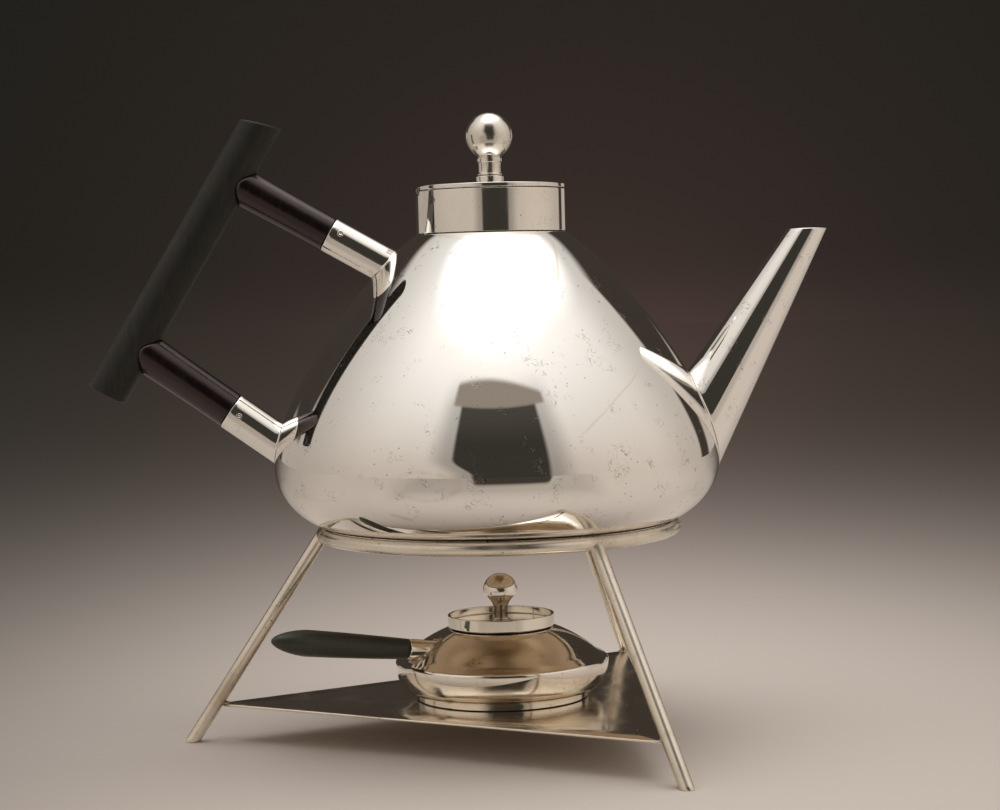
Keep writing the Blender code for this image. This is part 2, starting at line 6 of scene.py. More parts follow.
import bmesh
import bpy
import numpy as np
from mathutils import Matrix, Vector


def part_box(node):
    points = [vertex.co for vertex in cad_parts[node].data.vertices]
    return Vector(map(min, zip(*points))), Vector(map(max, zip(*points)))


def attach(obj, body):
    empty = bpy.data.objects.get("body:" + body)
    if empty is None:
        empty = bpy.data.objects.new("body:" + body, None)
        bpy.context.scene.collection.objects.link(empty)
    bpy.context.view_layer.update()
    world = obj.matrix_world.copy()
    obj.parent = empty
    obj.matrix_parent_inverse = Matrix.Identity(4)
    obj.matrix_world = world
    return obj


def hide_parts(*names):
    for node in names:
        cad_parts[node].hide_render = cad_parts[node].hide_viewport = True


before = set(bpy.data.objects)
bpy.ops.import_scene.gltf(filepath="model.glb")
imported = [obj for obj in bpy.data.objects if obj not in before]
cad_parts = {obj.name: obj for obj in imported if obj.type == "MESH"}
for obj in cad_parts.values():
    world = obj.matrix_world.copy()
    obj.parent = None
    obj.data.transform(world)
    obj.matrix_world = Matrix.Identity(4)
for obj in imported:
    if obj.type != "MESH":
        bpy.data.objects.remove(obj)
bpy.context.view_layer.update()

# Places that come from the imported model
ringLow, ringHigh = (np.array(corner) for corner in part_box("stand_ring"))
axisPoint = np.array([(ringLow[0] + ringHigh[0]) / 2, 0, 0])  # the kettle's upright axis, at the floor
kettleBase = axisPoint + np.array([0, 0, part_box("kettle_body")[0].z])
lampBase = axisPoint + np.array([0, 0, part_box("lamp_foot")[0].z])
ringCentre = axisPoint + np.array([0, 0, (ringLow[2] + ringHigh[2]) / 2])
upward = np.array([0.0, 0.0, 1.0])


# Shapes: every piece is a grid of points, rows by columns, made in one go with numpy

def unit(vector):
    vector = np.asarray(vector, float)
    return vector / np.linalg.norm(vector, axis=-1, keepdims=True)


def slanted(degrees, side=1):
    # A unit vector in the upright plane through the axis, this far above the level, to +X or -X
    turn = math.radians(degrees)
    return np.array([side * math.cos(turn), 0, math.sin(turn)])


def levelWay(degrees):
    turn = math.radians(degrees)
    return np.array([math.cos(turn), math.sin(turn), 0])


def levelWays(angles):
    return np.stack([np.cos(angles), np.sin(angles), np.zeros(len(angles))], 1)


def fromAxis(points):
    return np.hypot(points[:, 0] - axisPoint[0], points[:, 1])


def levelFrom(points):
    # Level unit vectors from the upright axis to each point
    away = points - axisPoint
    return unit(away * (1, 1, 0))


def bezier(points, count):
    # A cubic curve as the Bernstein sum of its four points
    t = np.linspace(0, 1, count)[:, None]
    p = np.array(points, float)
    return (1 - t) ** 3 * p[0] + 3 * (1 - t) ** 2 * t * p[1] + 3 * (1 - t) * t**2 * p[2] + t**3 * p[3]


def arc(centre, radius, first, last, count):
    # Circle points: centre plus radius times (cos, sin) of evenly spaced angles in degrees
    turn = np.radians(np.linspace(first, last, count))
    return np.array(centre, float) + radius * np.stack([np.cos(turn), np.sin(turn)], 1)


def eased(corners, softness, steps=4, closed=True, most=0.42, beside=0.15):
    # A polyline whose corners become short curves: (1-s)^2 A + 2 s (1-s) P + s^2 B, with A and B on
    # the sides that meet at P, no further off than most of a side. One more point beside each keeps
    # the flat sides flat.
    corners = np.array(corners, float)
    softness = np.broadcast_to(softness, len(corners))
    s = np.linspace(0, 1, steps + 1)[:, None]
    out = []
    for i, corner in enumerate(corners):
        if softness[i] == 0 or (not closed and i in (0, len(corners) - 1)):
            out.append(corner[None])
            continue
        before = corners[i - 1] - corner
        after = corners[(i + 1) % len(corners)] - corner
        reach = min(softness[i], most * np.linalg.norm(before), most * np.linalg.norm(after))
        a, b = corner + unit(before) * reach, corner + unit(after) * reach
        bend = (1 - s) ** 2 * a + 2 * s * (1 - s) * corner + s**2 * b
        flat = reach * beside
        out.append(np.vstack([a + unit(before) * flat, bend, b + unit(after) * flat]))
    return np.vstack(out)


def offset(outline, distance):
    # The outline moved along its normals: the tangent turned a quarter turn
    along = unit(np.gradient(outline, axis=0))
    return outline + np.stack([-along[:, 1], along[:, 0]], 1) * distance


def crossWays(axis):
    # Two unit vectors square to the axis and to each other, the second level where it can be
    axis = unit(axis)
    helper = np.array([0.0, 1.0, 0.0]) if abs(axis[1]) < 0.9 else np.array([1.0, 0.0, 0.0])
    first = unit(np.cross(helper, axis))
    return first, np.cross(axis, first)


def ringWays(axis, count, first=0.0, last=2 * math.pi, endpoint=False):
    # Unit vectors round the axis: cos(a) u + sin(a) v
    u, v = crossWays(axis)
    a = np.linspace(first, last, count, endpoint=endpoint)[:, None]
    return np.cos(a) * u + np.sin(a) * v


def spin(profile, centre, axis=upward, columns=96):
    # A profile of (radius, height) carried round an axis: centre + radius e(a) + height w
    profile = np.array(profile, float)
    ways = ringWays(axis, columns)
    return centre + profile[:, None, :1] * ways + profile[:, None, 1:] * unit(axis)


def travel(start, direction, outside, limit, halvings=36):
    # How far each point goes before outside() is no longer above zero, by halving the span
    near, far = np.zeros(len(start)), np.full(len(start), float(limit))
    for _ in range(halvings):
        middle = (near + far) / 2
        free = outside(start + middle[:, None] * direction) > 0
        near, far = np.where(free, middle, near), np.where(free, far, middle)
    return near


def turnedSurface(line, base):
    # How far points lie outside a turned outline, measured level, and the outline's normal there
    heights, radii = line[::-1, 1], line[::-1, 0]
    slope = np.gradient(line[:, 0]) / np.minimum(np.gradient(line[:, 1]), -1e-6)

    def gap(points):
        return fromAxis(points) - np.interp(points[:, 2] - base[2], heights, radii)

    def normal(points):
        lean = np.interp(points[:, 2] - base[2], heights, slope[::-1])
        return unit(levelFrom(points) - lean[:, None] * upward)

    return gap, normal


def toMesh(name, grid, finish, closedRows=False, closedColumns=True, capColumns=False, weld=2e-6,
           sliver=1e-7):
    # Quads between neighbouring grid points, welded at seams and poles, with faces turned outwards
    grid = np.asarray(grid, float)
    if capColumns:
        ends = [np.repeat(grid[:, k : k + 1].mean(0, keepdims=True), len(grid), 0) for k in (0, -1)]
        grid = np.concatenate([ends[0], grid, ends[1]], 1)
    rows, columns = grid.shape[:2]
    index = np.arange(rows * columns).reshape(rows, columns)
    low = index if closedRows else index[:-1]
    high = np.roll(index, -1, 0) if closedRows else index[1:]
    if closedColumns:
        quads = [low, np.roll(low, -1, 1), np.roll(high, -1, 1), high]
    else:
        quads = [low[:, :-1], low[:, 1:], high[:, 1:], high[:, :-1]]
    faces = np.stack(quads, -1).reshape(-1, 4)
    mesh = bpy.data.meshes.new(name)
    mesh.from_pydata(grid.reshape(-1, 3), [], faces.tolist())
    bm = bmesh.new()
    bm.from_mesh(mesh)
    bmesh.ops.remove_doubles(bm, verts=bm.verts, dist=weld)
    bmesh.ops.dissolve_degenerate(bm, edges=bm.edges, dist=sliver)
    if bm.calc_volume(signed=True) < 0:
        bmesh.ops.reverse_faces(bm, faces=bm.faces)
    bm.to_mesh(mesh)
    bm.free()
    mesh.materials.append(finish)
    mesh.polygons.foreach_set("use_smooth", np.ones(len(mesh.polygons), bool))
    piece = bpy.data.objects.new(name, mesh)
    bpy.context.scene.collection.objects.link(piece)
    return piece


def fit(piece, body, slotName, *nodes):
    # The piece takes its nodes' place, and moves with their body
    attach(piece, body)
    if nodes:
        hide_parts(*nodes)
    return piece


def pieceName(node):
    first, *rest = node.split("_")
    return first + "".join(word.title() for word in rest)


def dressed(node, body, slotName, grid, finish, name=None, **joined):
    # A piece in one node's place, named after it unless another name is given
    return fit(toMesh(name or pieceName(node), grid, finish, **joined), body, slotName, node)


# Finishes

class Wire:
    # A shader socket that plain sums work on: each operator adds its Math node
    def __init__(self, look, socket):
        self.look, self.socket = look, socket

    def maths(self, operation, *values, clamp=False):
        settings = {"operation": operation, "use_clamp": clamp}
        return self.look.node("ShaderNodeMath", settings, dict(enumerate(values)))

    def __add__(self, other):
        return self.maths("ADD", self, other)

    def __radd__(self, other):
        return self.maths("ADD", other, self)

    def __sub__(self, other):
        return self.maths("SUBTRACT", self, other)

    def __rsub__(self, other):
        return self.maths("SUBTRACT", other, self)

    def __mul__(self, other):
        return self.maths("MULTIPLY", self, other)

    def __rmul__(self, other):
        return self.maths("MULTIPLY", other, self)

    def __truediv__(self, other):
        return self.maths("DIVIDE", self, other)

    def __rtruediv__(self, other):
        return self.maths("DIVIDE", other, self)

    def __pow__(self, other):
        return self.maths("POWER", self, other)

    def most(self, other):
        return self.maths("MAXIMUM", self, other)

    def least(self, other):
        return self.maths("MINIMUM", self, other)

    def size(self):
        return self.maths("ABSOLUTE", self)

    def bearing(self, ahead):
        # The angle from ahead to this, in degrees
        return self.maths("ARCTAN2", self, ahead) * (180 / math.pi)

    def step(self, low, high, first=0.0, last=1.0):
        # A smooth step from first to last as the value goes from low to high
        settings = {"interpolation_type": "SMOOTHSTEP"}
        values = {0: self, 1: low, 2: high, 3: first, 4: last}
        return self.look.node("ShaderNodeMapRange", settings, values)


class Look:
    # A node tree, and one method that adds any node to it
    def __init__(self, tree):
        self.tree = tree

    def node(self, kind, settings=None, values=None, output=0):
        made = self.tree.nodes.new(kind)
        for name, value in (settings or {}).items():
            setattr(made, name, value)
        for name, value in (values or {}).items():
            if isinstance(value, Wire):
                self.tree.links.new(value.socket, made.inputs[name])
            else:
                made.inputs[name].default_value = value
        return Wire(self, made.outputs[output])

    def place(self, scale=(1, 1, 1), turn=(0, 0, 0)):
        # Object coordinates in metres, turned and scaled
        here = self.node("ShaderNodeTexCoord", output="Object")
        values = {"Vector": here, "Scale": scale, "Rotation": [math.radians(t) for t in turn]}
        return self.node("ShaderNodeMapping", {"vector_type": "POINT"}, values)

    def noise(self, where, scale, detail=3.0, roughness=0.5, distortion=0.0, output=0):
        values = {"Vector": where, "Scale": scale, "Detail": detail, "Roughness": roughness,
                  "Distortion": distortion}
        return self.node("ShaderNodeTexNoise", None, values, output)

    def cells(self, where, scale, output="Distance", randomness=1.0):
        values = {"Vector": where, "Scale": scale, "Randomness": randomness}
        return self.node("ShaderNodeTexVoronoi", None, values, output)

    def vector(self, operation, first, second=(0, 0, 0), output=0):
        return self.node("ShaderNodeVectorMath", {"operation": operation}, {0: first, 1: second}, output)

    def scaled(self, colour, share):
        return self.node("ShaderNodeVectorMath", {"operation": "SCALE"}, {0: colour, "Scale": share})

    def part(self, vector, index):
        return self.node("ShaderNodeSeparateXYZ", None, {0: vector}, index)

    def stroke(self, here, start, end, facing, width):
        # 1 on a line drawn on a surface, 0 beyond its width: away . across is how far off the line a
        # place is, away . along / length^2 how far down it, and away . facing keeps it on this side
        start, along = np.array(start), np.array(end) - np.array(start)
        across = unit(np.cross(along, facing))
        away = self.vector("SUBTRACT", here, start)
        off = self.vector("DOT_PRODUCT", away, across, 1)
        down = self.vector("DOT_PRODUCT", away, along / (along @ along), 1)
        depth = self.vector("DOT_PRODUCT", away, unit(facing), 1)
        line = off.size().step(width * 0.3, width, 1, 0)
        return line * down.step(0, 0.2) * down.step(0.8, 1, 1, 0) * depth.step(-0.02, -0.012)

    def mix(self, share, first, second):
        # Colours mixed by a share: Factor, A and B are sockets 0, 6 and 7, and the result is output 2
        values = {0: share}
        for place, colour in ((6, first), (7, second)):
            values[place] = colour if isinstance(colour, Wire) else (*colour, 1)
        return self.node("ShaderNodeMix", {"data_type": "RGBA"}, values, 2)

    def bump(self, height, distance, normal=None, strength=1.0):
        values = {"Height": height, "Distance": distance, "Strength": strength}
        if normal:
            values["Normal"] = normal
        return self.node("ShaderNodeBump", None, values)


def distance(x, y):
    return (x * x + y * y) ** 0.5


def newFinish(name):
    material = bpy.data.materials.new(name)
    material.use_nodes = True
    shader = material.node_tree.nodes["Principled BSDF"]
    return material, Look(material.node_tree), shader


def dress(look, shader, varying, steady):
    # Varying signals are linked and steady values are set on the shader's own sockets
    for name, wire in varying.items():
        look.tree.links.new(wire.socket, shader.inputs[name])
    for name, value in steady.items():
        shader.inputs[name].default_value = value


silverTones = {
    # How brown, how rough and how uneven each run of silver is
    "kettle": {"clean": (0.93, 0.905, 0.87), "brown": (0.66, 0.55, 0.42), "browning": 0.10,
               "rough": 0.03, "waves": 0.000030, "specks": 0.6, "scuffs": 0.85},
    "fittings": {"clean": (0.92, 0.89, 0.84), "brown": (0.62, 0.50, 0.36), "browning": 0.22,
                 "rough": 0.06, "waves": 0.000020, "specks": 0.6, "scuffs": 0.4},
    "knob": {"clean": (0.84, 0.79, 0.72), "brown": (0.34, 0.27, 0.20), "browning": 0.65,
             "rough": 0.17, "waves": 0.000060, "specks": 0.9, "scuffs": 0.7},
    "stand": {"clean": (0.81, 0.74, 0.64), "brown": (0.42, 0.31, 0.18), "browning": 0.65,
              "rough": 0.24, "waves": 0.000070, "specks": 0.8, "scuffs": 0.6},
    "lamp": {"clean": (0.88, 0.82, 0.73), "brown": (0.58, 0.46, 0.32), "browning": 0.38,
             "rough": 0.07, "waves": 0.000035, "specks": 0.6, "scuffs": 0.5},
    "tray": {"clean": (0.86, 0.78, 0.67), "brown": (0.46, 0.33, 0.20), "browning": 0.45,
             "rough": 0.14, "waves": 0.000070, "specks": 0.7, "scuffs": 0.7},
    "solder": {"clean": (0.46, 0.38, 0.29), "brown": (0.20, 0.14, 0.09), "browning": 0.8,
               "rough": 0.24, "waves": 0.000080, "specks": 0.8, "scuffs": 0.2},
    "inside": {"clean": (0.72, 0.67, 0.58), "brown": (0.30, 0.24, 0.17), "browning": 0.55,
               "rough": 0.22, "waves": 0.000050, "specks": 0.8, "scuffs": 0.2},
}
silverPattern = {
    # Features to a metre, and the colours of what has bitten into the plate
    "clouds": 26, "drifts": 42, "dots": 430, "curls": 330, "scuffs": 120, "blots": 140, "smudges": 55,
    "waves": 28, "wipes": (900, 60, 900), "wipeTurn": (0, 35, 20), "scuff": (0.30, 0.25, 0.20),
    "speck": (0.13, 0.09, 0.06), "wipeDepth": 0.0000006, "pitDepth": 0.00001,
}


def silverFinish(name, tone, soilAndPaintedMarks=None, soilAndPaintedLineColour=(0.115, 0.075, 0.045), dull=0.2):
    # Mirror-polished plate: soft brown clouds, dark specks in drifts, curled scuffs, fine wipe marks and
    # slow waves. The mask passed in gives the places that are never polished, which take the given soil
    # colour; on the kettle body it also holds painted reflections, dark lines where edges are mirrored.
    material, look, shader = newFinish(name)
    here, p = look.place(), silverPattern
    clouds = look.noise(here, p["clouds"], 5, 0.62).step(0.48, 0.80) * tone["browning"]
    blots = look.noise(here, p["blots"], 4).step(0.55, 0.8) * (tone["browning"] * 0.4)
    drifts = look.noise(here, p["drifts"], 2).step(0.47, 0.62)
    dots = 1 - look.cells(here, p["dots"]).step(0.08, 0.22)
    few = look.part(look.cells(here, p["dots"], "Color"), 0).step(0.72, 0.76)
    speck = dots * drifts * few * tone["specks"]
    curls = (look.noise(here, p["curls"], 2, 0.5, 1.2) - 0.5).size()
    scuff = curls.step(0.004, 0.016, 1, 0) * look.noise(here, p["scuffs"], 2).step(0.57, 0.64)
    silver = look.mix(clouds + blots, tone["clean"], tone["brown"])
    marked = look.mix(scuff * tone["scuffs"], silver, p["scuff"])
    colour = look.mix(speck, marked, p["speck"])
    wipes = look.noise(look.place(p["wipes"], p["wipeTurn"]), 1, 2)
    smudge = look.noise(here, p["smudges"], 4).step(0.45, 0.75)
    rough = tone["rough"] + smudge * (tone["rough"] * 0.9) + speck * 0.35 + wipes.step(0.5, 0.8) * 0.02
    if soilAndPaintedMarks:
        dirtAndPaintedReflections = soilAndPaintedMarks(look, here)
        # On the kettle body this mix also paints reflection lines into the plate's colour
        colour = look.mix(dirtAndPaintedReflections, colour, soilAndPaintedLineColour)
        rough = rough + dirtAndPaintedReflections * dull
    slow = look.bump(look.noise(here, p["waves"], 1), tone["waves"])
    fine = look.bump(wipes, p["wipeDepth"], slow)
    pits = look.bump(1 - speck - scuff * 0.5, p["pitDepth"], fine)
    dress(look, shader, {"Base Color": colour, "Roughness": rough, "Normal": pits}, {"Metallic": 1.0})
    return material


def ebonyFinish(name, turn, tone):
    # Oiled black wood: fine dark grain drawn out along the piece, and a low, uneven polish
    material, look, shader = newFinish(name)
    grain = look.noise(look.place((900, 900, 45), turn), 1, 5, 0.6, 0.4)
    pores = look.cells(look.place((1500, 1500, 120), turn), 1).step(0.02, 0.22)
    clouds = look.noise(look.place(), 70, 3)
    brown = look.mix(grain.step(0.40, 0.72), tone["dark"], tone["streak"])
    colour = look.mix(clouds.step(0.45, 0.75) * 0.4, brown, tone["worn"])
    rough = tone["rough"] + grain * 0.16 - clouds.step(0.4, 0.7) * 0.06
    lines = look.bump(grain, 0.00004)
    holes = look.bump(pores, 0.00002, lines)
    steady = {"Specular IOR Level": tone["gloss"], "Specular Tint": (*tone["sheen"], 1)}
    dress(look, shader, {"Base Color": colour, "Roughness": rough, "Normal": holes}, steady)
    return material


def steelFinish(name):
    material, look, shader = newFinish(name)
    drawn = look.noise(look.place((4000, 80, 4000)), 1, 3)
    colour = look.mix(drawn.step(0.4, 0.7), (0.60, 0.59, 0.57), (0.42, 0.40, 0.38))
    rough = 0.2 + drawn * 0.15
    normal = look.bump(drawn, 0.000004)
    dress(look, shader, {"Base Color": colour, "Roughness": rough, "Normal": normal}, {"Metallic": 1.0})
    return material


def cottonFinish(name):
    # Woven wick: two crossed sets of twisted threads, singed brown at the top
    material, look, shader = newFinish(name)
    here = look.place()
    strands = look.node(
        "ShaderNodeTexWave", {"wave_type": "BANDS", "bands_direction": "DIAGONAL"},
        {"Vector": here, "Scale": 420, "Distortion": 2.0, "Detail": 2.0}, "Fac")
    fuzz = look.noise(here, 2600, 3)
    height = look.part(here, 2)
    wickTop = float(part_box("wick")[1].z)
    singe = height.step(wickTop - 0.0025, wickTop - 0.0002)
    thread = look.mix(strands, (0.60, 0.54, 0.43), (0.82, 0.77, 0.66))
    colour = look.mix(singe * fuzz.step(0.2, 0.6), thread, (0.05, 0.035, 0.025))
    normal = look.bump(fuzz, 0.0001, look.bump(strands, 0.0003))
    dress(look, shader, {"Base Color": colour, "Normal": normal},
          {"Roughness": 0.95, "Sheen Weight": 0.3})
    return material


bodyMarks = {
    # Places on the kettle's near side: two painted reflections, dark lines where a panel's edge and a
    # wire are mirrored, one fine dark line, a faint ring left by a drop, and brown spots
    "lines": [  # from, to, width, share
        # The first two strokes are painted reflections: a panel's edge mirrored on the shoulder, and a
        # wire mirrored lower down
        ((0.0368, -0.0247, 0.2011), (0.0384, -0.0483, 0.1802), 0.0006, 0.5),
        ((0.0684, -0.0518, 0.1508), (0.0412, -0.0830, 0.1249), 0.0007, 0.22),
        ((-0.0290, -0.0735, 0.0990), (-0.0185, -0.0780, 0.0958), 0.0012, 0.4),
    ],
    "ring": {"at": (-0.0143, -0.0845, 0.1092), "width": 0.0122, "height": 0.0050, "share": 0.28},
    "waver": 0.004,
    "spots": [(0.0537, -0.0420, 0.1756, 0.0008), (0.0120, -0.0890, 0.1300, 0.0005),
              (-0.0400, -0.0700, 0.1450, 0.0006), (0.0620, -0.0640, 0.1180, 0.0005)],
}
collarBlot = {"at": (-0.0096, -0.0191, 0.2169), "size": 0.0019}


def bodySoilAndPaintedReflections(look, here):
    # The underside, out of sight in the ring, and the marks above, at places that waver with noise. Two
    # of the strokes are painted reflections, drawn into the plate's colour.
    m, base = bodyMarks, float(kettleBase[2])
    noise = look.noise(here, 60, 2, output=1)
    bent = look.node("ShaderNodeVectorMath", {"operation": "MULTIPLY_ADD"},
                     {0: noise, 1: (m["waver"],) * 3, 2: here})
    shift = m["waver"] / 2  # the noise is 0.5 on average
    dirtAndPaintedReflections = look.part(here, 2).step(base + 0.0008, base + 0.0045, 1, 0)
    # Painted reflections: the first two strokes darken the plate where edges round the kettle are
    # mirrored
    for start, end, width, share in m["lines"]:
        start, end = np.array(start), np.array(end)
        facing = ((start + end) / 2 - axisPoint) * (1, 1, 0)
        dirtAndPaintedReflections = dirtAndPaintedReflections.most(look.stroke(bent, start + shift, end + shift, facing, width) * share)
    r = m["ring"]
    away = look.vector("SUBTRACT", bent, np.array(r["at"]) + shift)
    inRadii = look.vector("MULTIPLY", away, (1 / r["width"], 60, 1 / r["height"]))
    inRadii = look.vector("LENGTH", inRadii, output=1)
    edge = inRadii.step(0.78, 0.98) * inRadii.step(1.02, 1.25, 1, 0)
    dirtAndPaintedReflections = dirtAndPaintedReflections.most(edge * look.noise(here, 150, 2).step(0.3, 0.7) * r["share"])
    for *place, size in m["spots"]:
        away = look.vector("DISTANCE", bent, np.array(place) + shift, 1)
        dirtAndPaintedReflections = dirtAndPaintedReflections.most(away.step(size * 0.4, size, 0.8, 0))
    return dirtAndPaintedReflections


def collarSoil(look, here):
    # One brown blot on the collar's near side, left of its middle
    away = look.vector("DISTANCE", here, collarBlot["at"], 1)
    size = collarBlot["size"]
    ragged = away + (look.noise(here, 700, 2) - 0.5) * size
    return ragged.step(size * 0.5, size * 1.2, 0.75, 0)


silver = {key: silverFinish(key + " silver", tone) for key, tone in silverTones.items()}
silver["collar"] = silverFinish("collar silver", silverTones["fittings"], collarSoil)
silver["body"] = silverFinish("body silver", silverTones["kettle"], bodySoilAndPaintedReflections, (0.60, 0.48, 0.35), 0.28)
print("finishes ready")


# Kettle body

kettleSizes = {
    "radius": 0.0898, "bellyHeight": 0.0285, "baseRadius": 0.0460, "neckHeight": 0.1210,
    "wall": 0.0012, "shoulderAngle": 32, "columns": 256,
    "shoulderShare": 0.212, "bellyRiseShare": 0.334, "bellyDropShare": 0.150, "baseShare": 0.340,
}
collarSizes = {"radius": 0.0302, "wall": 0.0010, "length": 0.0169, "seam": 0.0003, "columns": 256}


def bodyOutline():
    # Two cubic curves: down the shoulder from the neck to the widest, and round the belly to the base
    k, neck = kettleSizes, collarSizes["radius"]
    slope = math.radians(k["shoulderAngle"])
    pull = k["shoulderShare"] * k["radius"]
    widest = (k["radius"], k["bellyHeight"])
    shoulder = bezier([(neck, k["neckHeight"]),
                       (neck + pull * math.cos(slope), k["neckHeight"] - pull * math.sin(slope)),
                       (k["radius"], k["bellyHeight"] + k["bellyRiseShare"] * k["radius"]), widest], 150)
    belly = bezier([widest, (k["radius"], k["bellyHeight"] - k["bellyDropShare"] * k["radius"]),
                    (k["baseRadius"] + k["baseShare"] * k["radius"], 0), (k["baseRadius"], 0)], 60)
    return np.vstack([shoulder, belly[1:]])


outline = bodyOutline()
bodyGap, bodyNormal = turnedSurface(outline, kettleBase)


def makeBody():
    k = kettleSizes
    inner = offset(outline, -k["wall"])[::-1]
    inner[0] = (k["baseRadius"], k["wall"])
    inner[-1] = (collarSizes["radius"] - collarSizes["wall"], k["neckHeight"])
    mouth = np.array([[inner[-1][0], k["neckHeight"] + 0.00001]])
    profile = np.vstack([outline, [[0, 0]], [[0, k["wall"]]], inner, mouth])
    grid = spin(profile, kettleBase, columns=k["columns"])
    dressed("kettle_body", "kettle", "silver", grid, silver["body"], closedRows=True)


makeBody()

seamSizes = {"lift": 0.00004, "rimShare": 0.4, "curveRows": 7, "rimRows": 8,
             "swells": ((2, 0.20), (5, 0.20), (9, 0.16), (16, 0.12), (27, 0.08))}
seams = {}  # the foot of each soldered tube, for its bead


def solderedTube(name, end, along, radius, wall, finish, growth=0.0, flare=0.0006, columns=96, rows=20,
                 level=False, surface=(bodyGap, bodyNormal), reach=0.12):
    # A tube from its open end down to the body. At angle a the wall's line is
    # end + radius e(a) + d (growth e(a) - along), from the rim at d0(a) to the body at d1(a). A concave
    # curve (1-s)^2 A + 2 s (1-s) J + s^2 B then runs out over the body, as solder does.
    ways = ringWays(along, columns)
    gap, normal = surface

    def side(sideRadius):
        start = end + sideRadius * ways
        direction = growth * ways - along
        first = np.zeros(columns)
        if level:
            first = sideRadius * ways[:, 2] / (along[2] - growth * ways[:, 2])
        opened = start + first[:, None] * direction
        last = travel(opened, direction, gap, reach) + first
        return start, direction, first, last

    outerStart, outerWay, outerFirst, outerLast = side(radius)
    innerStart, innerWay, innerFirst, innerLast = side(radius - wall)
    edge = wall * seamSizes["rimShare"]
    s = np.linspace(0, 1, rows)[:, None]
    outer = outerFirst + edge + s * (outerLast - flare - outerFirst - edge)
    outerRows = outerStart + outer[..., None] * outerWay
    joint = outerStart + outerLast[:, None] * outerWay
    facing = normal(joint)
    spread = unit(ways - (ways * facing).sum(1, keepdims=True) * facing)
    foot = joint + flare * spread
    foot = foot - (gap(foot)[:, None] + seamSizes["lift"]) * facing
    f = np.linspace(0, 1, seamSizes["curveRows"])[1:, None, None]
    fillet = (1 - f) ** 2 * outerRows[-1] + 2 * f * (1 - f) * joint + f**2 * foot
    inner = innerLast + s * (innerFirst + edge - innerLast)
    innerRows = innerStart + inner[..., None] * innerWay
    centre = (outerRows[0] + innerRows[-1]) / 2
    half = (outerRows[0] - innerRows[-1]) / 2
    rim = (outerStart + outerFirst[:, None] * outerWay + innerStart + innerFirst[:, None] * innerWay) / 2
    turn = np.linspace(math.pi, 0, seamSizes["rimRows"])[1:-1, None, None]
    rimRows = centre + half * np.cos(turn) + (rim - centre) * np.sin(turn)
    grid = np.vstack([outerRows, fillet, innerRows, rimRows])
    seams[name] = (foot, spread, facing)
    return toMesh(name, grid, finish, closedRows=True)


def solderSeam(tubeName, size, body, seed, sunk=0.35):
    # A wavy bead along the foot of a tube: round each place of the joint, a circle in the plane of the
    # two directions there, its radius size (1 + waves of several lengths)
    foot, spread, facing = seams[tubeName]
    phase = np.random.default_rng(seed).uniform(0, 2 * math.pi, 5)
    a = np.linspace(0, 2 * math.pi, len(foot), endpoint=False)
    swells = zip(seamSizes["swells"], phase)
    swell = 1 + sum(high * np.sin(many * a + start) for (many, high), start in swells)
    radius = size * np.maximum(swell, 0.35)[:, None]
    turn = np.linspace(0, 2 * math.pi, 14, endpoint=False)[:, None, None]
    centre = foot - facing * size * sunk
    grid = centre + radius * (np.cos(turn) * spread * 1.3 + np.sin(turn) * facing)
    fit(toMesh(tubeName + "Solder", grid, silver["solder"], closedRows=True), body, "silver")


# Spout

spoutSizes = {
    "lipX": 0.1284, "lipHeight": 0.1200, "angle": 59, "lipRadius": 0.0068, "rootRadius": 0.0147,
    "wall": 0.0009, "flare": 0.0009, "columns": 160, "rows": 48,
}


def makeSpout():
    p = spoutSizes
    along = slanted(p["angle"])
    lip = kettleBase + np.array([p["lipX"], 0, p["lipHeight"]])
    reach = travel(lip[None], -along, bodyGap, 0.12)[0]
    growth = (p["rootRadius"] - p["lipRadius"]) / reach
    piece = solderedTube(
        "spoutTube", lip, along, p["lipRadius"], p["wall"], silver["kettle"], growth=growth,
        flare=p["flare"], columns=p["columns"], rows=p["rows"], level=True)
    fit(piece, "kettle", "silver", "spout")
    solderSeam("spoutTube", 0.00042, "kettle", 3)


makeSpout()
print("body and spout ready")


# Handle

gripSizes = {"x": -0.1241, "height": 0.1135, "angle": 58.6, "length": 0.1254, "radius": 0.00825,
             "edge": 0.0024, "columns": 96, "topLean": 16, "lowLean": 2}
armSizes = {
    "upper": {"x": -0.0654, "height": 0.1222, "angle": 30.2, "radius": 0.0073, "pinTurn": 20},
    "lower": {"x": -0.1069, "height": 0.0521, "angle": 36.0, "radius": 0.0078, "pinTurn": 4},
}
socketSizes = {"wall": 0.0008, "flare": 0.0007, "tenon": 0.0100, "seam": 0.0003, "pinRadius": 0.00125,
               "pinInset": 0.0042, "pinProud": 0.0003, "dimple": 0.00045, "swell": 0.0005}

ebonyTones = {
    "bar": {"dark": (0.0205, 0.0215, 0.0190), "streak": (0.032, 0.0315, 0.0275),
            "worn": (0.038, 0.0365, 0.0320), "rough": 0.40, "gloss": 0.25, "sheen": (1.0, 0.94, 0.88)},
    "arm": {"dark": (0.0035, 0.0026, 0.0028), "streak": (0.010, 0.006, 0.007),
            "worn": (0.013, 0.008, 0.010), "rough": 0.16, "gloss": 0.72, "sheen": (1.0, 0.78, 0.78)},
    "baton": {"dark": (0.0335, 0.0350, 0.0290), "streak": (0.049, 0.0480, 0.0380),
              "worn": (0.056, 0.0540, 0.0420), "rough": 0.30, "gloss": 0.45, "sheen": (0.96, 1.0, 0.88)},
}
gripEbony = ebonyFinish("bar ebony", (0, gripSizes["angle"] - 90, 0), ebonyTones["bar"])
gripAlong = slanted(gripSizes["angle"])
gripMiddle = kettleBase + np.array([gripSizes["x"], 0, gripSizes["height"]])


def gripGap(points):
    # Distance from the bar's axis, less its radius
    away = points - gripMiddle
    return np.linalg.norm(away - (away @ gripAlong)[:, None] * gripAlong, axis=1) - gripSizes["radius"]


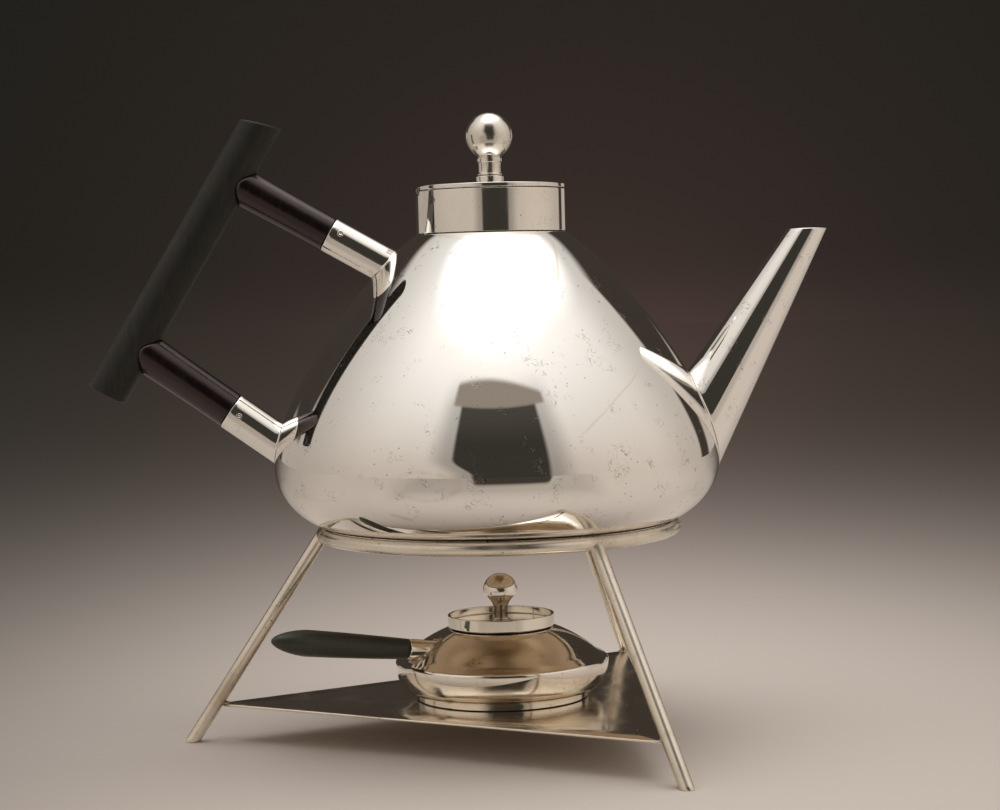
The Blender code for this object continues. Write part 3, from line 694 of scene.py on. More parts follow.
def makeGrip():
    # A round bar whose end faces are cut a little nearer to level than square
    g = gripSizes
    half = g["length"] / 2
    side = np.linspace(half * 0.96, -half * 0.96, 24)
    wall = np.stack([np.full(24, g["radius"]), side], 1)
    profile = eased([(0, half), (g["radius"], half), *wall, (g["radius"], -half), (0, -half)],
                    [0, g["edge"], *np.zeros(24), g["edge"], 0], 6, closed=False)
    grid = spin(profile, gripMiddle, gripAlong, g["columns"])
    away = grid - gripMiddle
    along = away @ gripAlong
    across = away @ np.array([gripAlong[2], 0, -gripAlong[0]])
    topLean, lowLean = (math.tan(math.radians(g[key])) for key in ("topLean", "lowLean"))
    lean = np.where(along > 0, topLean, lowLean)
    nearEnd = np.clip((np.abs(along) / half - 0.7) / 0.3, 0, 1)
    grid = grid + (nearEnd * lean * across)[..., None] * gripAlong
    dressed("grip_bar", "kettle", "ebony", grid, gripEbony)


def makeArm(sideName):
    # A turned arm: tenon in the socket, a soft shoulder, and a far end coped to the bar
    a, s = armSizes[sideName], socketSizes
    out = slanted(a["angle"], -1)
    end = kettleBase + np.array([a["x"], 0, a["height"]])
    finish = ebonyFinish(sideName + " arm ebony", (0, 90 - a["angle"], 0), ebonyTones["arm"])
    ways = ringWays(out, 80)
    tenon = a["radius"] - s["wall"] - s["seam"]
    shoulder = a["radius"] - s["seam"]
    stub = eased([(0, -s["tenon"]), (tenon, -s["tenon"]), (tenon, s["seam"]), (shoulder, s["seam"]),
                  (shoulder, s["seam"] * 4)], [0, 0.0005, 0, 0.0005, 0], 4, closed=False)
    stubRows = end + stub[:, None, :1] * ways + stub[:, None, 1:] * out
    start = stubRows[-1]
    toBar = np.linalg.lstsq(np.stack([out, -gripAlong], 1), gripMiddle - end, rcond=None)[0][0]
    span = travel(start, np.broadcast_to(out, start.shape), gripGap, toBar)
    share = np.linspace(0, 1, 28)[1:, None]
    rise = s["swell"] * share[..., None] ** 2
    wallRows = start + (share * span)[..., None] * out + rise * ways
    tip = np.repeat((wallRows[-1].mean(0) + out * a["radius"] * 0.4)[None, None], 80, 1)
    grid = np.vstack([stubRows, wallRows, tip])
    dressed(sideName + "_arm", "kettle", "ebony", grid, finish)

    socket = solderedTube(sideName + "Socket", end, out, a["radius"], s["wall"], silver["fittings"],
                          flare=s["flare"], columns=96, rows=16)
    fit(socket, "kettle", "silver", sideName + "_socket")
    solderSeam(sideName + "Socket", 0.00030, "kettle", 5 + len(sideName) + ord(sideName[0]))

    # The pin runs through socket and arm, with a small dimple in each head
    u, v = np.array([0.0, -1.0, 0.0]), np.cross(out, [0.0, -1.0, 0.0])
    turn = math.radians(a["pinTurn"])
    pinWay = math.cos(turn) * u + math.sin(turn) * v
    half = a["radius"] + s["pinProud"]
    r, d = s["pinRadius"], s["dimple"]
    profile = eased([(0, half - d / 2), (d, half - d / 3), (d * 1.4, half), (r, half), (r, -half),
                     (d * 1.4, -half), (d, -half + d / 3), (0, -half + d / 2)],
                    [0, d / 3, d / 3, d / 2, d / 2, d / 3, d / 3, 0], 3, closed=False)
    centre = end - out * s["pinInset"]
    grid = spin(profile, centre, pinWay, 32)
    dressed(sideName + "_socket_pin", "kettle", "silver", grid, silver["fittings"])


makeGrip()
for sideName in armSizes:
    makeArm(sideName)
print("handle ready")


# Collar, lid and hinge

lidSizes = {"thickness": 0.0018, "edge": 0.0004, "bezelWall": 0.0010, "bezelDepth": 0.0050,
            "relief": 0.0004}
hingeSizes = {"inset": 0.0018, "knuckle": 0.0013, "pin": 0.0005, "length": 0.0200, "play": 0.0002,
              "seam": 0.0003}
collarTop = kettleBase[2] + kettleSizes["neckHeight"] + collarSizes["seam"] + collarSizes["length"]
hingePoint = np.array([axisPoint[0] - collarSizes["radius"] + hingeSizes["inset"], 0,
                       collarTop + hingeSizes["seam"] / 2])
hingeRoom = hingeSizes["knuckle"] + hingeSizes["seam"]
hingeHalf = hingeSizes["length"] / 2 + hingeSizes["seam"]


def anglesWithEdges(count, edges):
    # Even angles and, at each edge, a pair close together so that a cut has a square side
    pairs = [edge + nudge for edge in edges for nudge in (-0.0004, 0.0004)]
    return np.sort(np.concatenate([np.linspace(-math.pi, math.pi, count, endpoint=False), pairs]))


def makeCollar():
    # A short tube, its top cut down where the hinge lies
    c = collarSizes
    outer, inner, low = c["radius"], c["radius"] - c["wall"], kettleSizes["neckHeight"] + c["seam"]
    profile = eased([(outer, c["length"]), (outer, 0), (inner, 0), (inner, c["length"])], 0.00018, 3)
    edge = math.asin(hingeHalf / outer)
    angles = anglesWithEdges(c["columns"], (math.pi - edge, edge - math.pi))
    drop = np.where(np.abs(angles) > math.pi - edge, hingeRoom - hingeSizes["seam"] / 2, 0)
    ways = levelWays(angles)
    lift = profile[:, None, 1] - drop * (profile[:, None, 1] > c["length"] / 2)
    grid = kettleBase + low * upward + profile[:, None, :1] * ways + lift[..., None] * upward
    dressed("neck_collar", "kettle", "silver", grid, silver["collar"], closedRows=True)


def makeLid():
    # A disc whose radius at angle a is the least of its own and the straight cuts beside the hinge
    c, p = collarSizes, lidSizes
    under = hingePoint[2] + hingeSizes["seam"] / 2
    radius, edge = c["radius"], p["edge"]
    profile = eased([(0, p["thickness"]), (radius * 0.5, p["thickness"]), (radius, p["thickness"]),
                     (radius, 0), (radius * 0.5, 0), (0, 0)], [0, 0, edge, edge, 0, 0], 5, closed=False)
    reliefX = radius - hingeSizes["inset"] - p["relief"]
    pocketX = radius - hingeSizes["inset"] - hingeRoom
    corner = math.atan2(hingeHalf, reliefX)
    angles = anglesWithEdges(256, (math.pi - corner, corner - math.pi))
    reach = np.where(np.abs(angles) > math.pi - corner, pocketX, reliefX)
    facing = np.where(np.cos(angles) < -0.2, -np.cos(angles), 1e-3)
    limit = np.minimum(radius, reach / facing)
    ways = levelWays(angles)
    spread = np.minimum(profile[:, None, 0], limit)
    grid = axisPoint + under * upward + spread[..., None] * ways + profile[:, None, 1:] * upward
    dressed("lid_plate", "lid", "silver", grid, silver["fittings"])

    outer = c["radius"] - c["wall"] - hingeSizes["seam"]
    inner, top = outer - p["bezelWall"], under - hingeSizes["seam"]
    section = eased([(outer, top), (outer, top - p["bezelDepth"]), (inner, top - p["bezelDepth"]),
                     (inner, top)], 0.0002, 3)
    opening = math.asin(hingeHalf / inner)
    a = np.linspace(opening - math.pi, math.pi - opening, 200)
    ways = levelWays(a)
    grid = axisPoint + section[:, None, :1] * ways + section[:, None, 1:] * upward
    dressed("lid_bezel", "lid", "silver", grid, silver["inside"], closedRows=True, closedColumns=False,
            capColumns=True)
    return under


def makeHinge():
    h = hingeSizes
    third = (h["length"] - 2 * h["seam"]) / 3
    bore = h["pin"] + h["play"]
    step = third + h["seam"]
    starts = {"collar_knuckle_front": ("kettle", 0), "lid_knuckle": ("lid", step),
              "collar_knuckle_back": ("kettle", 2 * step)}
    level = np.array([0.0, 1.0, 0.0])
    for node, (body, start) in starts.items():
        profile = eased([(h["knuckle"], third), (h["knuckle"], 0), (bore, 0), (bore, third)], 0.0001, 3)
        centre = hingePoint + level * (start - h["length"] / 2)
        grid = spin(profile, centre, level, 40)
        dressed(node, body, "silver", grid, silver["fittings"], closedRows=True)
    half = h["length"] / 2
    profile = eased([(0, half), (h["pin"], half), (h["pin"], -half), (0, -half)],
                    [0, 0.00015, 0.00015, 0], 3, closed=False)
    grid = spin(profile, hingePoint, level, 24)
    dressed("hinge_pin", "kettle", "steel", grid, steelFinish("hinge steel"))


knobSizes = {
    "radius": 0.0095, "height": 0.0294, "ringRadius": 0.0050, "waistRadius": 0.0044,
    "footRadius": 0.0050, "baseRadius": 0.0056, "bossRadius": 0.0068, "baseHeight": 0.0038,
    "stud": 0.0015, "nutRadius": 0.0033, "nutThickness": 0.0020,
}


def makeKnob(under):
    # Heights run from the lid's top face
    k, seam = knobSizes, hingeSizes["seam"]
    top = axisPoint + (under + lidSizes["thickness"]) * upward
    hole = k["stud"] + seam
    ringLow = k["height"] - 2 * k["radius"] - 0.0010
    centre = k["height"] - k["radius"]
    neck = math.degrees(math.acos(k["ringRadius"] * 0.86 / k["radius"]))
    ball = arc((0, centre), k["radius"], 90, -neck, 40)
    ball[0, 0] = 0
    foot = k["baseHeight"] + seam
    waist = bezier([(k["ringRadius"] * 0.92, ringLow), (k["waistRadius"], ringLow - 0.0012),
                    (k["waistRadius"] * 0.98, foot + 0.0020),
                    (k["footRadius"] * 0.95, foot + 0.0006)], 18)
    moulding = eased(
        [ball[-1], (k["ringRadius"], ball[-1, 1] - 0.0004), (k["ringRadius"], ringLow),
         waist[0]], [0, 0.0006, 0.0006, 0], 4, closed=False)
    low = -lidSizes["thickness"] - seam - k["nutThickness"]
    stem = eased([waist[-1], (k["footRadius"], foot + 0.0005), (k["footRadius"], foot),
                  (k["stud"], foot), (k["stud"], low), (0, low)],
                 [0, 0.0002, 0.0001, 0, 0.0003, 0], 3, closed=False)
    profile = np.vstack([ball[:-1], moulding[:-1], waist[:-1], stem])
    dressed("lid_knob", "lid", "silver", spin(profile, top), silver["knob"])

    base = eased([(k["baseRadius"], k["baseHeight"]), (k["baseRadius"], k["baseHeight"] * 0.42),
                  (k["baseRadius"] * 0.93, k["baseHeight"] * 0.34), (k["bossRadius"], seam),
                  (hole, seam), (hole, k["baseHeight"])],
                 [0.0004, 0.0003, 0.0003, 0.0003, 0, 0.0002], 4)
    dressed("knob_base", "lid", "silver", spin(base, top), silver["fittings"], closedRows=True)

    # A six-sided nut: the outer radius at angle a is flat / cos(a within its side)
    nutTop = -lidSizes["thickness"] - seam
    section = eased([(1, nutTop), (1, low), (0, low), (0, nutTop)], [0.0002, 0.0002, 0, 0], 3)
    a = np.linspace(0, 2 * math.pi, 144, endpoint=False)
    flat = k["nutRadius"] * math.cos(math.pi / 6)
    sixSided = flat / np.cos((a + math.pi / 6) % (math.pi / 3) - math.pi / 6)
    reach = hole + (sixSided - hole) * section[:, None, 0]
    ways = levelWays(a)
    grid = top + reach[..., None] * ways + section[:, None, 1:] * upward
    dressed("knob_nut", "lid", "silver", grid, silver["inside"], closedRows=True)


makeCollar()
makeKnob(makeLid())
makeHinge()
print("lid ready")


# Stand

standSizes = {
    "rod": 0.00275, "ringRadius": 0.0711, "footRadius": 0.1271, "trayTop": 0.0155,
    "trayThickness": 0.0010, "seam": 0.0003, "solder": 0.0012,
    "legs": {"leg_left": 180, "leg_front": -60, "leg_back": 60},
}


def ringGap(points):
    # Distance from the ring's centre circle, less the rod's radius
    level = fromAxis(points) - standSizes["ringRadius"]
    return np.hypot(level, points[:, 2] - ringCentre[2]) - standSizes["rod"]


def ringNormal(points):
    return unit(points - (ringCentre + standSizes["ringRadius"] * levelFrom(points)))


def makeRing():
    s = standSizes
    section = arc((s["ringRadius"], 0), s["rod"], 0, -360, 41)[:-1]
    grid = spin(section, ringCentre, columns=320)
    dressed("stand_ring", "stand", "worn_silver", grid, silver["stand"], closedRows=True)


def makeLeg(node, degrees):
    # A rod cut level at the floor, coped to the ring's underside with a little solder round it
    s = standSizes
    top = ringCentre + s["ringRadius"] * levelWay(degrees)
    foot = axisPoint + s["footRadius"] * levelWay(degrees)
    rise = unit(top - foot)
    ways = ringWays(rise, 48)
    first = -s["rod"] * ways[:, 2] / rise[2]
    start = foot + s["rod"] * ways + first[:, None] * rise
    span = travel(start, np.broadcast_to(rise, start.shape), ringGap, np.linalg.norm(top - foot))
    flare = s["solder"]
    share = np.linspace(0, 1, 60)[:, None]
    ease = s["rod"] * 0.12
    wall = start + (ease + share * (span - flare - ease))[..., None] * rise
    joint = start + span[:, None] * rise
    facing = ringNormal(joint)
    spread = unit(ways - (ways * facing).sum(1, keepdims=True) * facing)
    edge = joint + flare * 0.7 * spread
    edge = edge - (ringGap(edge)[:, None] + seamSizes["lift"]) * ringNormal(edge)
    f = np.linspace(0, 1, 6)[1:, None, None]
    fillet = (1 - f) ** 2 * wall[-1] + 2 * f * (1 - f) * joint + f**2 * edge
    cap = np.repeat(top[None, None], 48, 1)
    sole = foot + (start - foot) * 0.93
    pole = np.repeat(foot[None, None], 48, 1)
    grid = np.vstack([pole, sole[None], wall, fillet, cap])
    dressed(node, "stand", "worn_silver", grid, silver["stand"])


def trayCorners():
    # Each corner of the triangle, cut back to the face of its leg
    s = standSizes
    share = s["trayTop"] / ringCentre[2]
    reach = s["footRadius"] + (s["ringRadius"] - s["footRadius"]) * share
    ways = [levelWay(degrees) for degrees in s["legs"].values()]
    corners = [reach * way for way in ways]
    out = []
    for i in (0, 1, 2):
        here, before, after = corners[i], corners[i - 1], corners[(i + 1) % 3]
        back = s["rod"] * 1.15 / math.cos(math.radians(30))
        out += [here + unit(before - here) * back, here + unit(after - here) * back]
    return np.array(out)


def makeTray():
    # The outline is filled from its middle, and its edge is a half round of the sheet's thickness
    s = standSizes
    corners = trayCorners()
    order = np.argsort(np.arctan2(corners[:, 1], corners[:, 0]))
    corners = corners[order]
    ends = np.roll(corners, -1, 0)
    t = np.linspace(0, 1, 40, endpoint=False)[None, :, None]
    rim = (corners[:, None] + (ends - corners)[:, None] * t).reshape(-1, 3)
    half = s["trayThickness"] / 2
    inward = -unit(rim) * half * 1.5
    rows = [rim * share + inward * full + half * upward for share, full in ((0, 0), (0.35, 0), (0.8, 0))]
    turn = np.linspace(math.pi / 2, -math.pi / 2, 7)
    rows += [rim + inward * (1 - math.cos(a)) * 0.5 + half * math.sin(a) * upward for a in turn]
    rows += [rim * share - half * upward for share in (0.8, 0.35, 0)]
    grid = np.array(rows) + axisPoint + (s["trayTop"] - half) * upward
    dressed("tray", "stand", "silver", grid, silver["tray"], name="trayPlate")


def solderBead(name, centre, size, body, seed, finish, flatten=0.6):
    # A lump of solder: a sphere whose radius swells with three slow waves of its own
    phase = np.random.default_rng(seed).uniform(0, 2 * math.pi, 3)
    lat = np.linspace(0, math.pi, 18)[:, None]
    lon = np.linspace(0, 2 * math.pi, 28, endpoint=False)[None]
    two = 0.16 * np.sin(2 * lon + phase[0]) * np.sin(lat)
    three = 0.12 * np.sin(3 * lon + phase[1]) * np.sin(lat) ** 2
    swell = 1 + two + three + 0.1 * np.sin(2 * lat + phase[2]) * np.sin(lat)
    x, y = np.sin(lat) * np.cos(lon), np.sin(lat) * np.sin(lon)
    z = np.broadcast_to(np.cos(lat), x.shape)
    grid = np.asarray(centre) + size * swell[..., None] * np.stack([x, y, z * flatten], -1)
    piece = toMesh(name, grid, finish)
    return fit(piece, body, "worn_silver" if body == "stand" else "silver")


def makeStandSolder():
    # A bead where each leg passes the tray, the seam that closes the ring, and a stray drop on it
    s = standSizes
    share = s["trayTop"] / ringCentre[2]
    reach = s["footRadius"] + (s["ringRadius"] - s["footRadius"]) * share - s["rod"] * 1.15
    for i, degrees in enumerate(s["legs"].values()):
        place = axisPoint + reach * levelWay(degrees) + s["trayTop"] * upward
        solderBead(f"trayBead{i}", place, 0.0021, "stand", 11 + i, silver["solder"], 0.5)
    way = levelWay(192)
    centre = ringCentre + s["ringRadius"] * way
    bead = arc((s["rod"] - 0.0001, 0), 0.0004, 0, -360, 13)[:-1]
    grid = spin(bead, centre, np.cross(upward, way), 48)
    fit(toMesh("ringJoin", grid, silver["solder"], closedRows=True), "stand", "worn_silver")
    drop = ringCentre + (s["ringRadius"] + s["rod"] * 0.75) * levelWay(-9) + s["rod"] * 0.6 * upward
    solderBead("ringDrop", drop, 0.0013, "stand", 21, silver["solder"], 0.7)


makeRing()
for node, degrees in standSizes["legs"].items():
    makeLeg(node, degrees)
makeTray()
makeStandSolder()
print("stand ready")


# Spirit lamp

lampSizes = {
    "radius": 0.0435, "widest": 0.0142, "top": 0.0282, "topRadius": 0.0210, "mouth": 0.0165,
    "turnRadius": 0.0385, "slope": 30, "bottomRadius": 0.0345, "wall": 0.0010, "turnShare": 0.42,
    "bend": 10,
    "bowlShare": 0.55, "footRadius": 0.0352, "footWidth": 0.0030, "footHeight": 0.0020, "seam": 0.0003,
    "columns": 192,
}
burnerSizes = {"flange": 0.0190, "wall": 0.0008, "depth": 0.0055, "tube": 0.0055, "tubeBelow": 0.0050,
               "wick": 0.0042}


def lampOutline():
    # A slightly domed cone, a quick turn to the widest, and a bowl below, as cubic curves
    p = lampSizes
    early, slope, late = (math.tan(math.radians(p["slope"] + side * p["bend"])) for side in (-1, 0, 1))
    third = (p["turnRadius"] - p["topRadius"]) / 3
    turnHeight = p["top"] - third * 3 * slope
    bulge = p["radius"] - p["turnRadius"]
    base = p["footHeight"] + p["seam"]
    fall = p["widest"] - base
    cone = bezier([(p["topRadius"], p["top"]), (p["topRadius"] + third, p["top"] - third * early),
                   (p["turnRadius"] - third, turnHeight + third * late),
                   (p["turnRadius"], turnHeight)], 30)
    turn = bezier([(p["turnRadius"], turnHeight),
                   (p["turnRadius"] + bulge * p["turnShare"], turnHeight - bulge * p["turnShare"] * late),
                   (p["radius"], p["widest"] + bulge * p["turnShare"]), (p["radius"], p["widest"])], 28)
    bowl = bezier([(p["radius"], p["widest"]), (p["radius"], p["widest"] - fall * p["bowlShare"]),
                   (p["bottomRadius"] + (p["radius"] - p["bottomRadius"]) * p["bowlShare"], base),
                   (p["bottomRadius"], base)], 36)
    return np.vstack([cone, turn[1:], bowl[1:]])


lampLine = lampOutline()
lampSurface = turnedSurface(lampLine, lampBase)


def makeLampBody():
    p = lampSizes
    base = lampLine[-1, 1]
    inner = offset(lampLine, -p["wall"])[::-1]
    inner[0] = (p["bottomRadius"], base + p["wall"])
    inner[-1] = (p["mouth"], p["top"] - p["wall"])
    rim = [(p["mouth"], p["top"])]
    profile = np.vstack([lampLine, [[0, base]], [[0, base + p["wall"]]], inner, rim])
    grid = spin(profile, lampBase, columns=p["columns"])
    dressed("lamp_body", "lamp", "silver", grid, silver["lamp"], closedRows=True)

    r, w, h = p["footRadius"], p["footWidth"], p["footHeight"]
    h = h + p["seam"] * 0.9
    section = eased([(r, h), (r, 0), (r - w, 0), (r - w, h)], [0.00015, 0.0003, 0.0003, 0.00015], 4)
    grid = spin(section, lampBase, columns=p["columns"])
    dressed("lamp_foot", "lamp", "silver", grid, silver["lamp"], closedRows=True)


def makeBurner():
    p, b = lampSizes, burnerSizes
    plug, flange = p["mouth"] - p["seam"], p["top"] + p["seam"]
    top = flange + b["wall"]
    floor = top - b["depth"]
    bore = b["wick"] + p["seam"]
    section = eased(
        [(b["flange"], top), (b["flange"], flange), (plug, flange), (plug, floor - b["wall"]),
         (b["tube"], floor - b["wall"]), (b["tube"], floor - b["tubeBelow"]),
         (bore, floor - b["tubeBelow"]), (bore, top), (b["tube"], top), (b["tube"], floor),
         (plug - b["wall"], floor), (plug - b["wall"], top)], 0.0002, 3)
    grid = spin(section, lampBase, columns=128)
    dressed("burner", "lamp", "silver", grid, silver["inside"], name="burnerCup", closedRows=True)

    # The wick: its radius swells with each twist, radius (0.97 + 0.02 sin(90 t)), below a blunt top
    low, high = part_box("wick")
    length = high.z - low.z
    t = np.linspace(0, 1, 60)
    twisted = np.stack([b["wick"] * (0.97 + 0.02 * np.sin(t * 90)), (1 - t) * (length - 0.0012)], 1)
    top = [(0, length), (b["wick"] * 0.55, length), (b["wick"] * 0.97, length - 0.0009)]
    grid = spin(np.vstack([top, twisted, [(0, 0)]]), axisPoint + low.z * upward, columns=64)
    dressed("wick", "lamp", "cotton", grid, cottonFinish("singed cotton"), name="cottonWick")


snufferSizes = {
    "radius": 0.02165, "wall": 0.0008, "height": 0.0047, "skirt": 0.0009, "sleeve": 0.0074,
    "sleeveLength": 0.0045, "ball": 0.0070, "ballHeight": 0.0133, "ballCut": 0.0018, "cone": 0.0059,
    "coneLength": 0.0045, "stem": 0.0031, "stud": 0.0015,
}


def makeSnuffer():
    # Heights run from the underside of the cap's floor
    p, seam = snufferSizes, lampSizes["seam"]
    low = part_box("snuffer_dish")[0].z + p["skirt"]
    centre = axisPoint + low * upward
    inner, top, hole = p["radius"] - p["wall"], p["height"] - p["skirt"], p["stud"] + seam
    section = eased([(p["radius"], top), (p["radius"], -p["skirt"]), (inner, -p["skirt"]), (inner, 0),
                     (hole, 0), (hole, p["wall"]), (inner, p["wall"]), (inner, top)],
                    [0.0003, 0.0003, 0.0002, 0, 0, 0.0002, 0.0005, 0.0003], 4)

    def soot(look, here):
        # Inside the cap: nearer the axis than its wall, and above its floor's underside
        x, y, z = (look.part(here, k) for k in range(3))
        away = distance(x - float(axisPoint[0]), y)
        return away.step(inner - 0.0001, inner + 0.0002, 0.03, 0) * z.step(low + 0.0003, low + 0.0006)

    def stemSoil(look, here):
        return look.part(here, 2).step(low + coneTop - 0.0006, low + coneTop - 0.0001, 0.25, 0)

    dishSilver = silverFinish("dish silver", silverTones["lamp"], soot)
    grid = spin(section, centre, columns=160)
    dressed("snuffer_dish", "snuffer", "silver", grid, dishSilver, closedRows=True)
    r = p["sleeve"]
    section = eased([(r, -seam), (r, -p["sleeveLength"]), (r - p["wall"], -p["sleeveLength"]),
                     (r - p["wall"], -seam)], 0.0002, 3)
    dressed("snuffer_sleeve", "snuffer", "silver", spin(section, centre), silver["inside"],
            closedRows=True)

    cut = math.degrees(math.asin(p["ballCut"] / p["ball"]))
    ball = arc((0, p["ballHeight"]), p["ball"], 90, -cut, 36)
    ball[0, 0] = 0
    coneTop, coneLow = ball[-1, 1], ball[-1, 1] - p["coneLength"]
    stemLow = p["wall"] + seam
    cone = bezier([(p["cone"], coneTop - 0.0003), (p["cone"] * 0.80, coneTop - 0.0016),
                   (p["stem"] * 1.05, coneLow + 0.0016), (p["stem"], coneLow)], 16)
    stem = eased([cone[-1], (p["stem"], stemLow + 0.0008), (p["stem"] * 1.25, stemLow + 0.0003),
                  (p["stem"] * 1.25, stemLow), (p["stud"], stemLow), (p["stud"], 0), (0, 0)],
                 [0, 0.0005, 0.0002, 0.0001, 0, 0, 0], 3, closed=False)
    groove = eased([ball[-2], ball[-1], (p["ball"] * 0.93, coneTop - 0.00005),
                    (p["cone"], coneTop - 0.0001), cone[0]],
                   [0, 0.0001, 0.0001, 0.0001, 0], 3, closed=False)
    profile = np.vstack([ball[:-2], groove[:-1], cone[:-1], stem])
    knobSilver = silverFinish("snuffer knob silver", silverTones["lamp"], stemSoil)
    dressed("snuffer_knob", "snuffer", "silver", spin(profile, centre), knobSilver)


batonSizes = {
    "turn": 205, "slope": 8.5, "reach": 0.0347, "height": 0.0216, "ferruleEnd": 0.0420,
    "ferrule": 0.0041, "wall": 0.0007, "length": 0.0580, "radius": 0.00525, "tip": 0.0150,
    "tenon": 0.0100, "flare": 0.0012,
}


def makeBaton():
    # A tapered handle, thickest near its rounded tip, in a ferrule soldered to the lamp
    p, seam = batonSizes, lampSizes["seam"]
    slope = math.radians(p["slope"])
    level = levelWay(p["turn"])
    out = level * math.cos(slope) + upward * math.sin(slope)
    end = lampBase + level * p["reach"] + p["height"] * upward
    end = end + out * (p["ferruleEnd"] - p["reach"]) / math.cos(slope)
    ferrule = solderedTube("lampFerrule", end, out, p["ferrule"], p["wall"], silver["lamp"],
                           flare=p["flare"], columns=72, rows=14, surface=lampSurface, reach=0.05)
    fit(ferrule, "lamp", "silver", "lamp_ferrule")
    solderSeam("lampFerrule", 0.00085, "lamp", 8)

    swell = p["length"] - p["tip"]
    a = np.linspace(0, math.pi / 2, 22)
    tip = np.stack([p["radius"] * np.sin(a) ** 1.1, swell + p["tip"] * np.cos(a) ** 1.25], 1)
    tip[0, 0] = 0
    t = np.linspace(0, 1, 30)[1:]
    taper = np.stack([p["radius"] + (p["ferrule"] - p["radius"]) * t**1.5, swell + (seam - swell) * t], 1)
    tenon = p["ferrule"] - p["wall"] - seam
    stub = eased([taper[-1], (tenon, seam), (tenon, -p["tenon"]), (0, -p["tenon"])], [0, 0, 0.0005, 0], 3,
                 closed=False)
    profile = np.vstack([tip, taper, stub[1:]])
    finish = ebonyFinish("baton ebony", (0, 90 - p["slope"], -p["turn"]), ebonyTones["baton"])
    dressed("lamp_handle", "lamp", "ebony", spin(profile, end, out, 72), finish)


makeLampBody()
makeBurner()
makeSnuffer()
makeBaton()
print("lamp ready")


# Studio

cameraSizes = {"place": (-0.00139, -0.88524, 0.18166), "yaw": 1.10, "pitch": -3.07, "roll": -1.44,
               "lens": 78.69}
paper = {
    # The floor, as the camera sees it: pale paper in a painted pool of light, whose painted falloff fades
    # it into the backdrop
    "reach": 9.0, "lightLevel": (0.90, 0.88, 0.84), "pale": (0.628, 0.562, 0.520),
    "fadeReach": 0.640, "fadePower": 2.95, "pool": (0.073, -0.079), "leftFall": 2.05, "rightFall": 1.90,
    # As polished metal sees it, with painted light and shade: lighter to the right, to the sides and near
    # the object, and dark behind the object and beyond the table's near edge. Bearings are in degrees
    # from the camera's side, reaches in metres
    "left": (0.418, 0.378, 0.346), "right": (0.498, 0.453, 0.415), "dark": (0.055, 0.046, 0.038),
    "leftToRight": (-0.5, 0.4), "darkBearing": (122, 165), "darkReach": (0.25, 0.8),
    "sideBearing": (38, 55), "sideEnd": (85, 130), "sideFall": 0.9, "nearReach": (0.15, 0.36),
    "nearGain": 0.35, "tableEdge": (-0.75, -0.38), "openingFrom": (0.014, -0.09),
    "openingLeft": (-0.26, -0.22), "openingRight": (0.48, 0.52), "grain": 900, "grainDepth": 0.00005,
}
backdrop = {
    # What the camera sees above the floor, in degrees: a faint glow low in the dark
    "dark": (0.0104, 0.0120, 0.0092), "glow": (0.0365, 0.0190, 0.0175), "glowBearing": 3.2,
    "glowDrop": 13, "glowAcross": 67.7, "glowUp": 169, "haze": (-2.4, 1.0), "hazeGain": 0.55,
}
tent = {
    # What metal sees all round, in degrees: bearing from the camera's side, + to the right, and height
    "wallLow": (0.550, 0.480, 0.415), "wallHigh": (1.175, 1.15, 1.105), "wallFoot": -5, "wallSpan": 71,
    "wallPower": 1.9, "farLeft": (-125, -60), "farLeftFall": 0.24, "right": (35, 65), "rightGain": 0.12,
    "rightTop": (5, 45), "farRight": (85, 125), "farRightFall": 0.25,
    "overhead": (2.5, 2.46, 2.38), "overheadFrom": (61, 80), "overheadDrop": 14,
    "dropRight": (60, 130), "dropLeft": (-178, -140),
    "gap": (0.038, 0.034, 0.028), "gapLeft": -13.5, "gapWiden": 10.5, "gapWidenAt": (2, 19),
    "gapRight": (24.5, 27.5), "gapTop": (46.8, 48.2), "gapRise": (28, 47), "gapGain": 0.7,
    "besideGap": (2, 17), "besideFall": 0.43, "besideTop": (45, 60), "besideRight": 26,
    "band": (0.29, 0.245, 0.205), "bandLeft": (-31, -28), "bandRight": (31, 34), "bandFoot": (46.5, 48),
    "bandTop": 57.6, "bandBow": 0.0045, "bandMiddle": -5, "bandEdge": (-1.4, 1.0),
    "behind": (0.045, 0.037, 0.030), "behindFrom": (127, 130), "behindTop": (37, 44),
    "steps": ((138, 142), (158, 161), (-150, -146), (-128, -126)), "stepTop": (8, 11),
}


def glowShare(across, lift):
    # The backdrop's glow: 1 / (across^2 / a + lift^2 / b), with lift counted from below the horizon
    b = backdrop
    return 1 / (across * across * (1 / b["glowAcross"]) + lift * lift * (1 / b["glowUp"]))


def hazeShare(lift):
    # The backdrop and the far floor grow brighter just about the horizon
    return 1 + backdrop["hazeGain"] * lift.step(*backdrop["haze"], 1, 0)


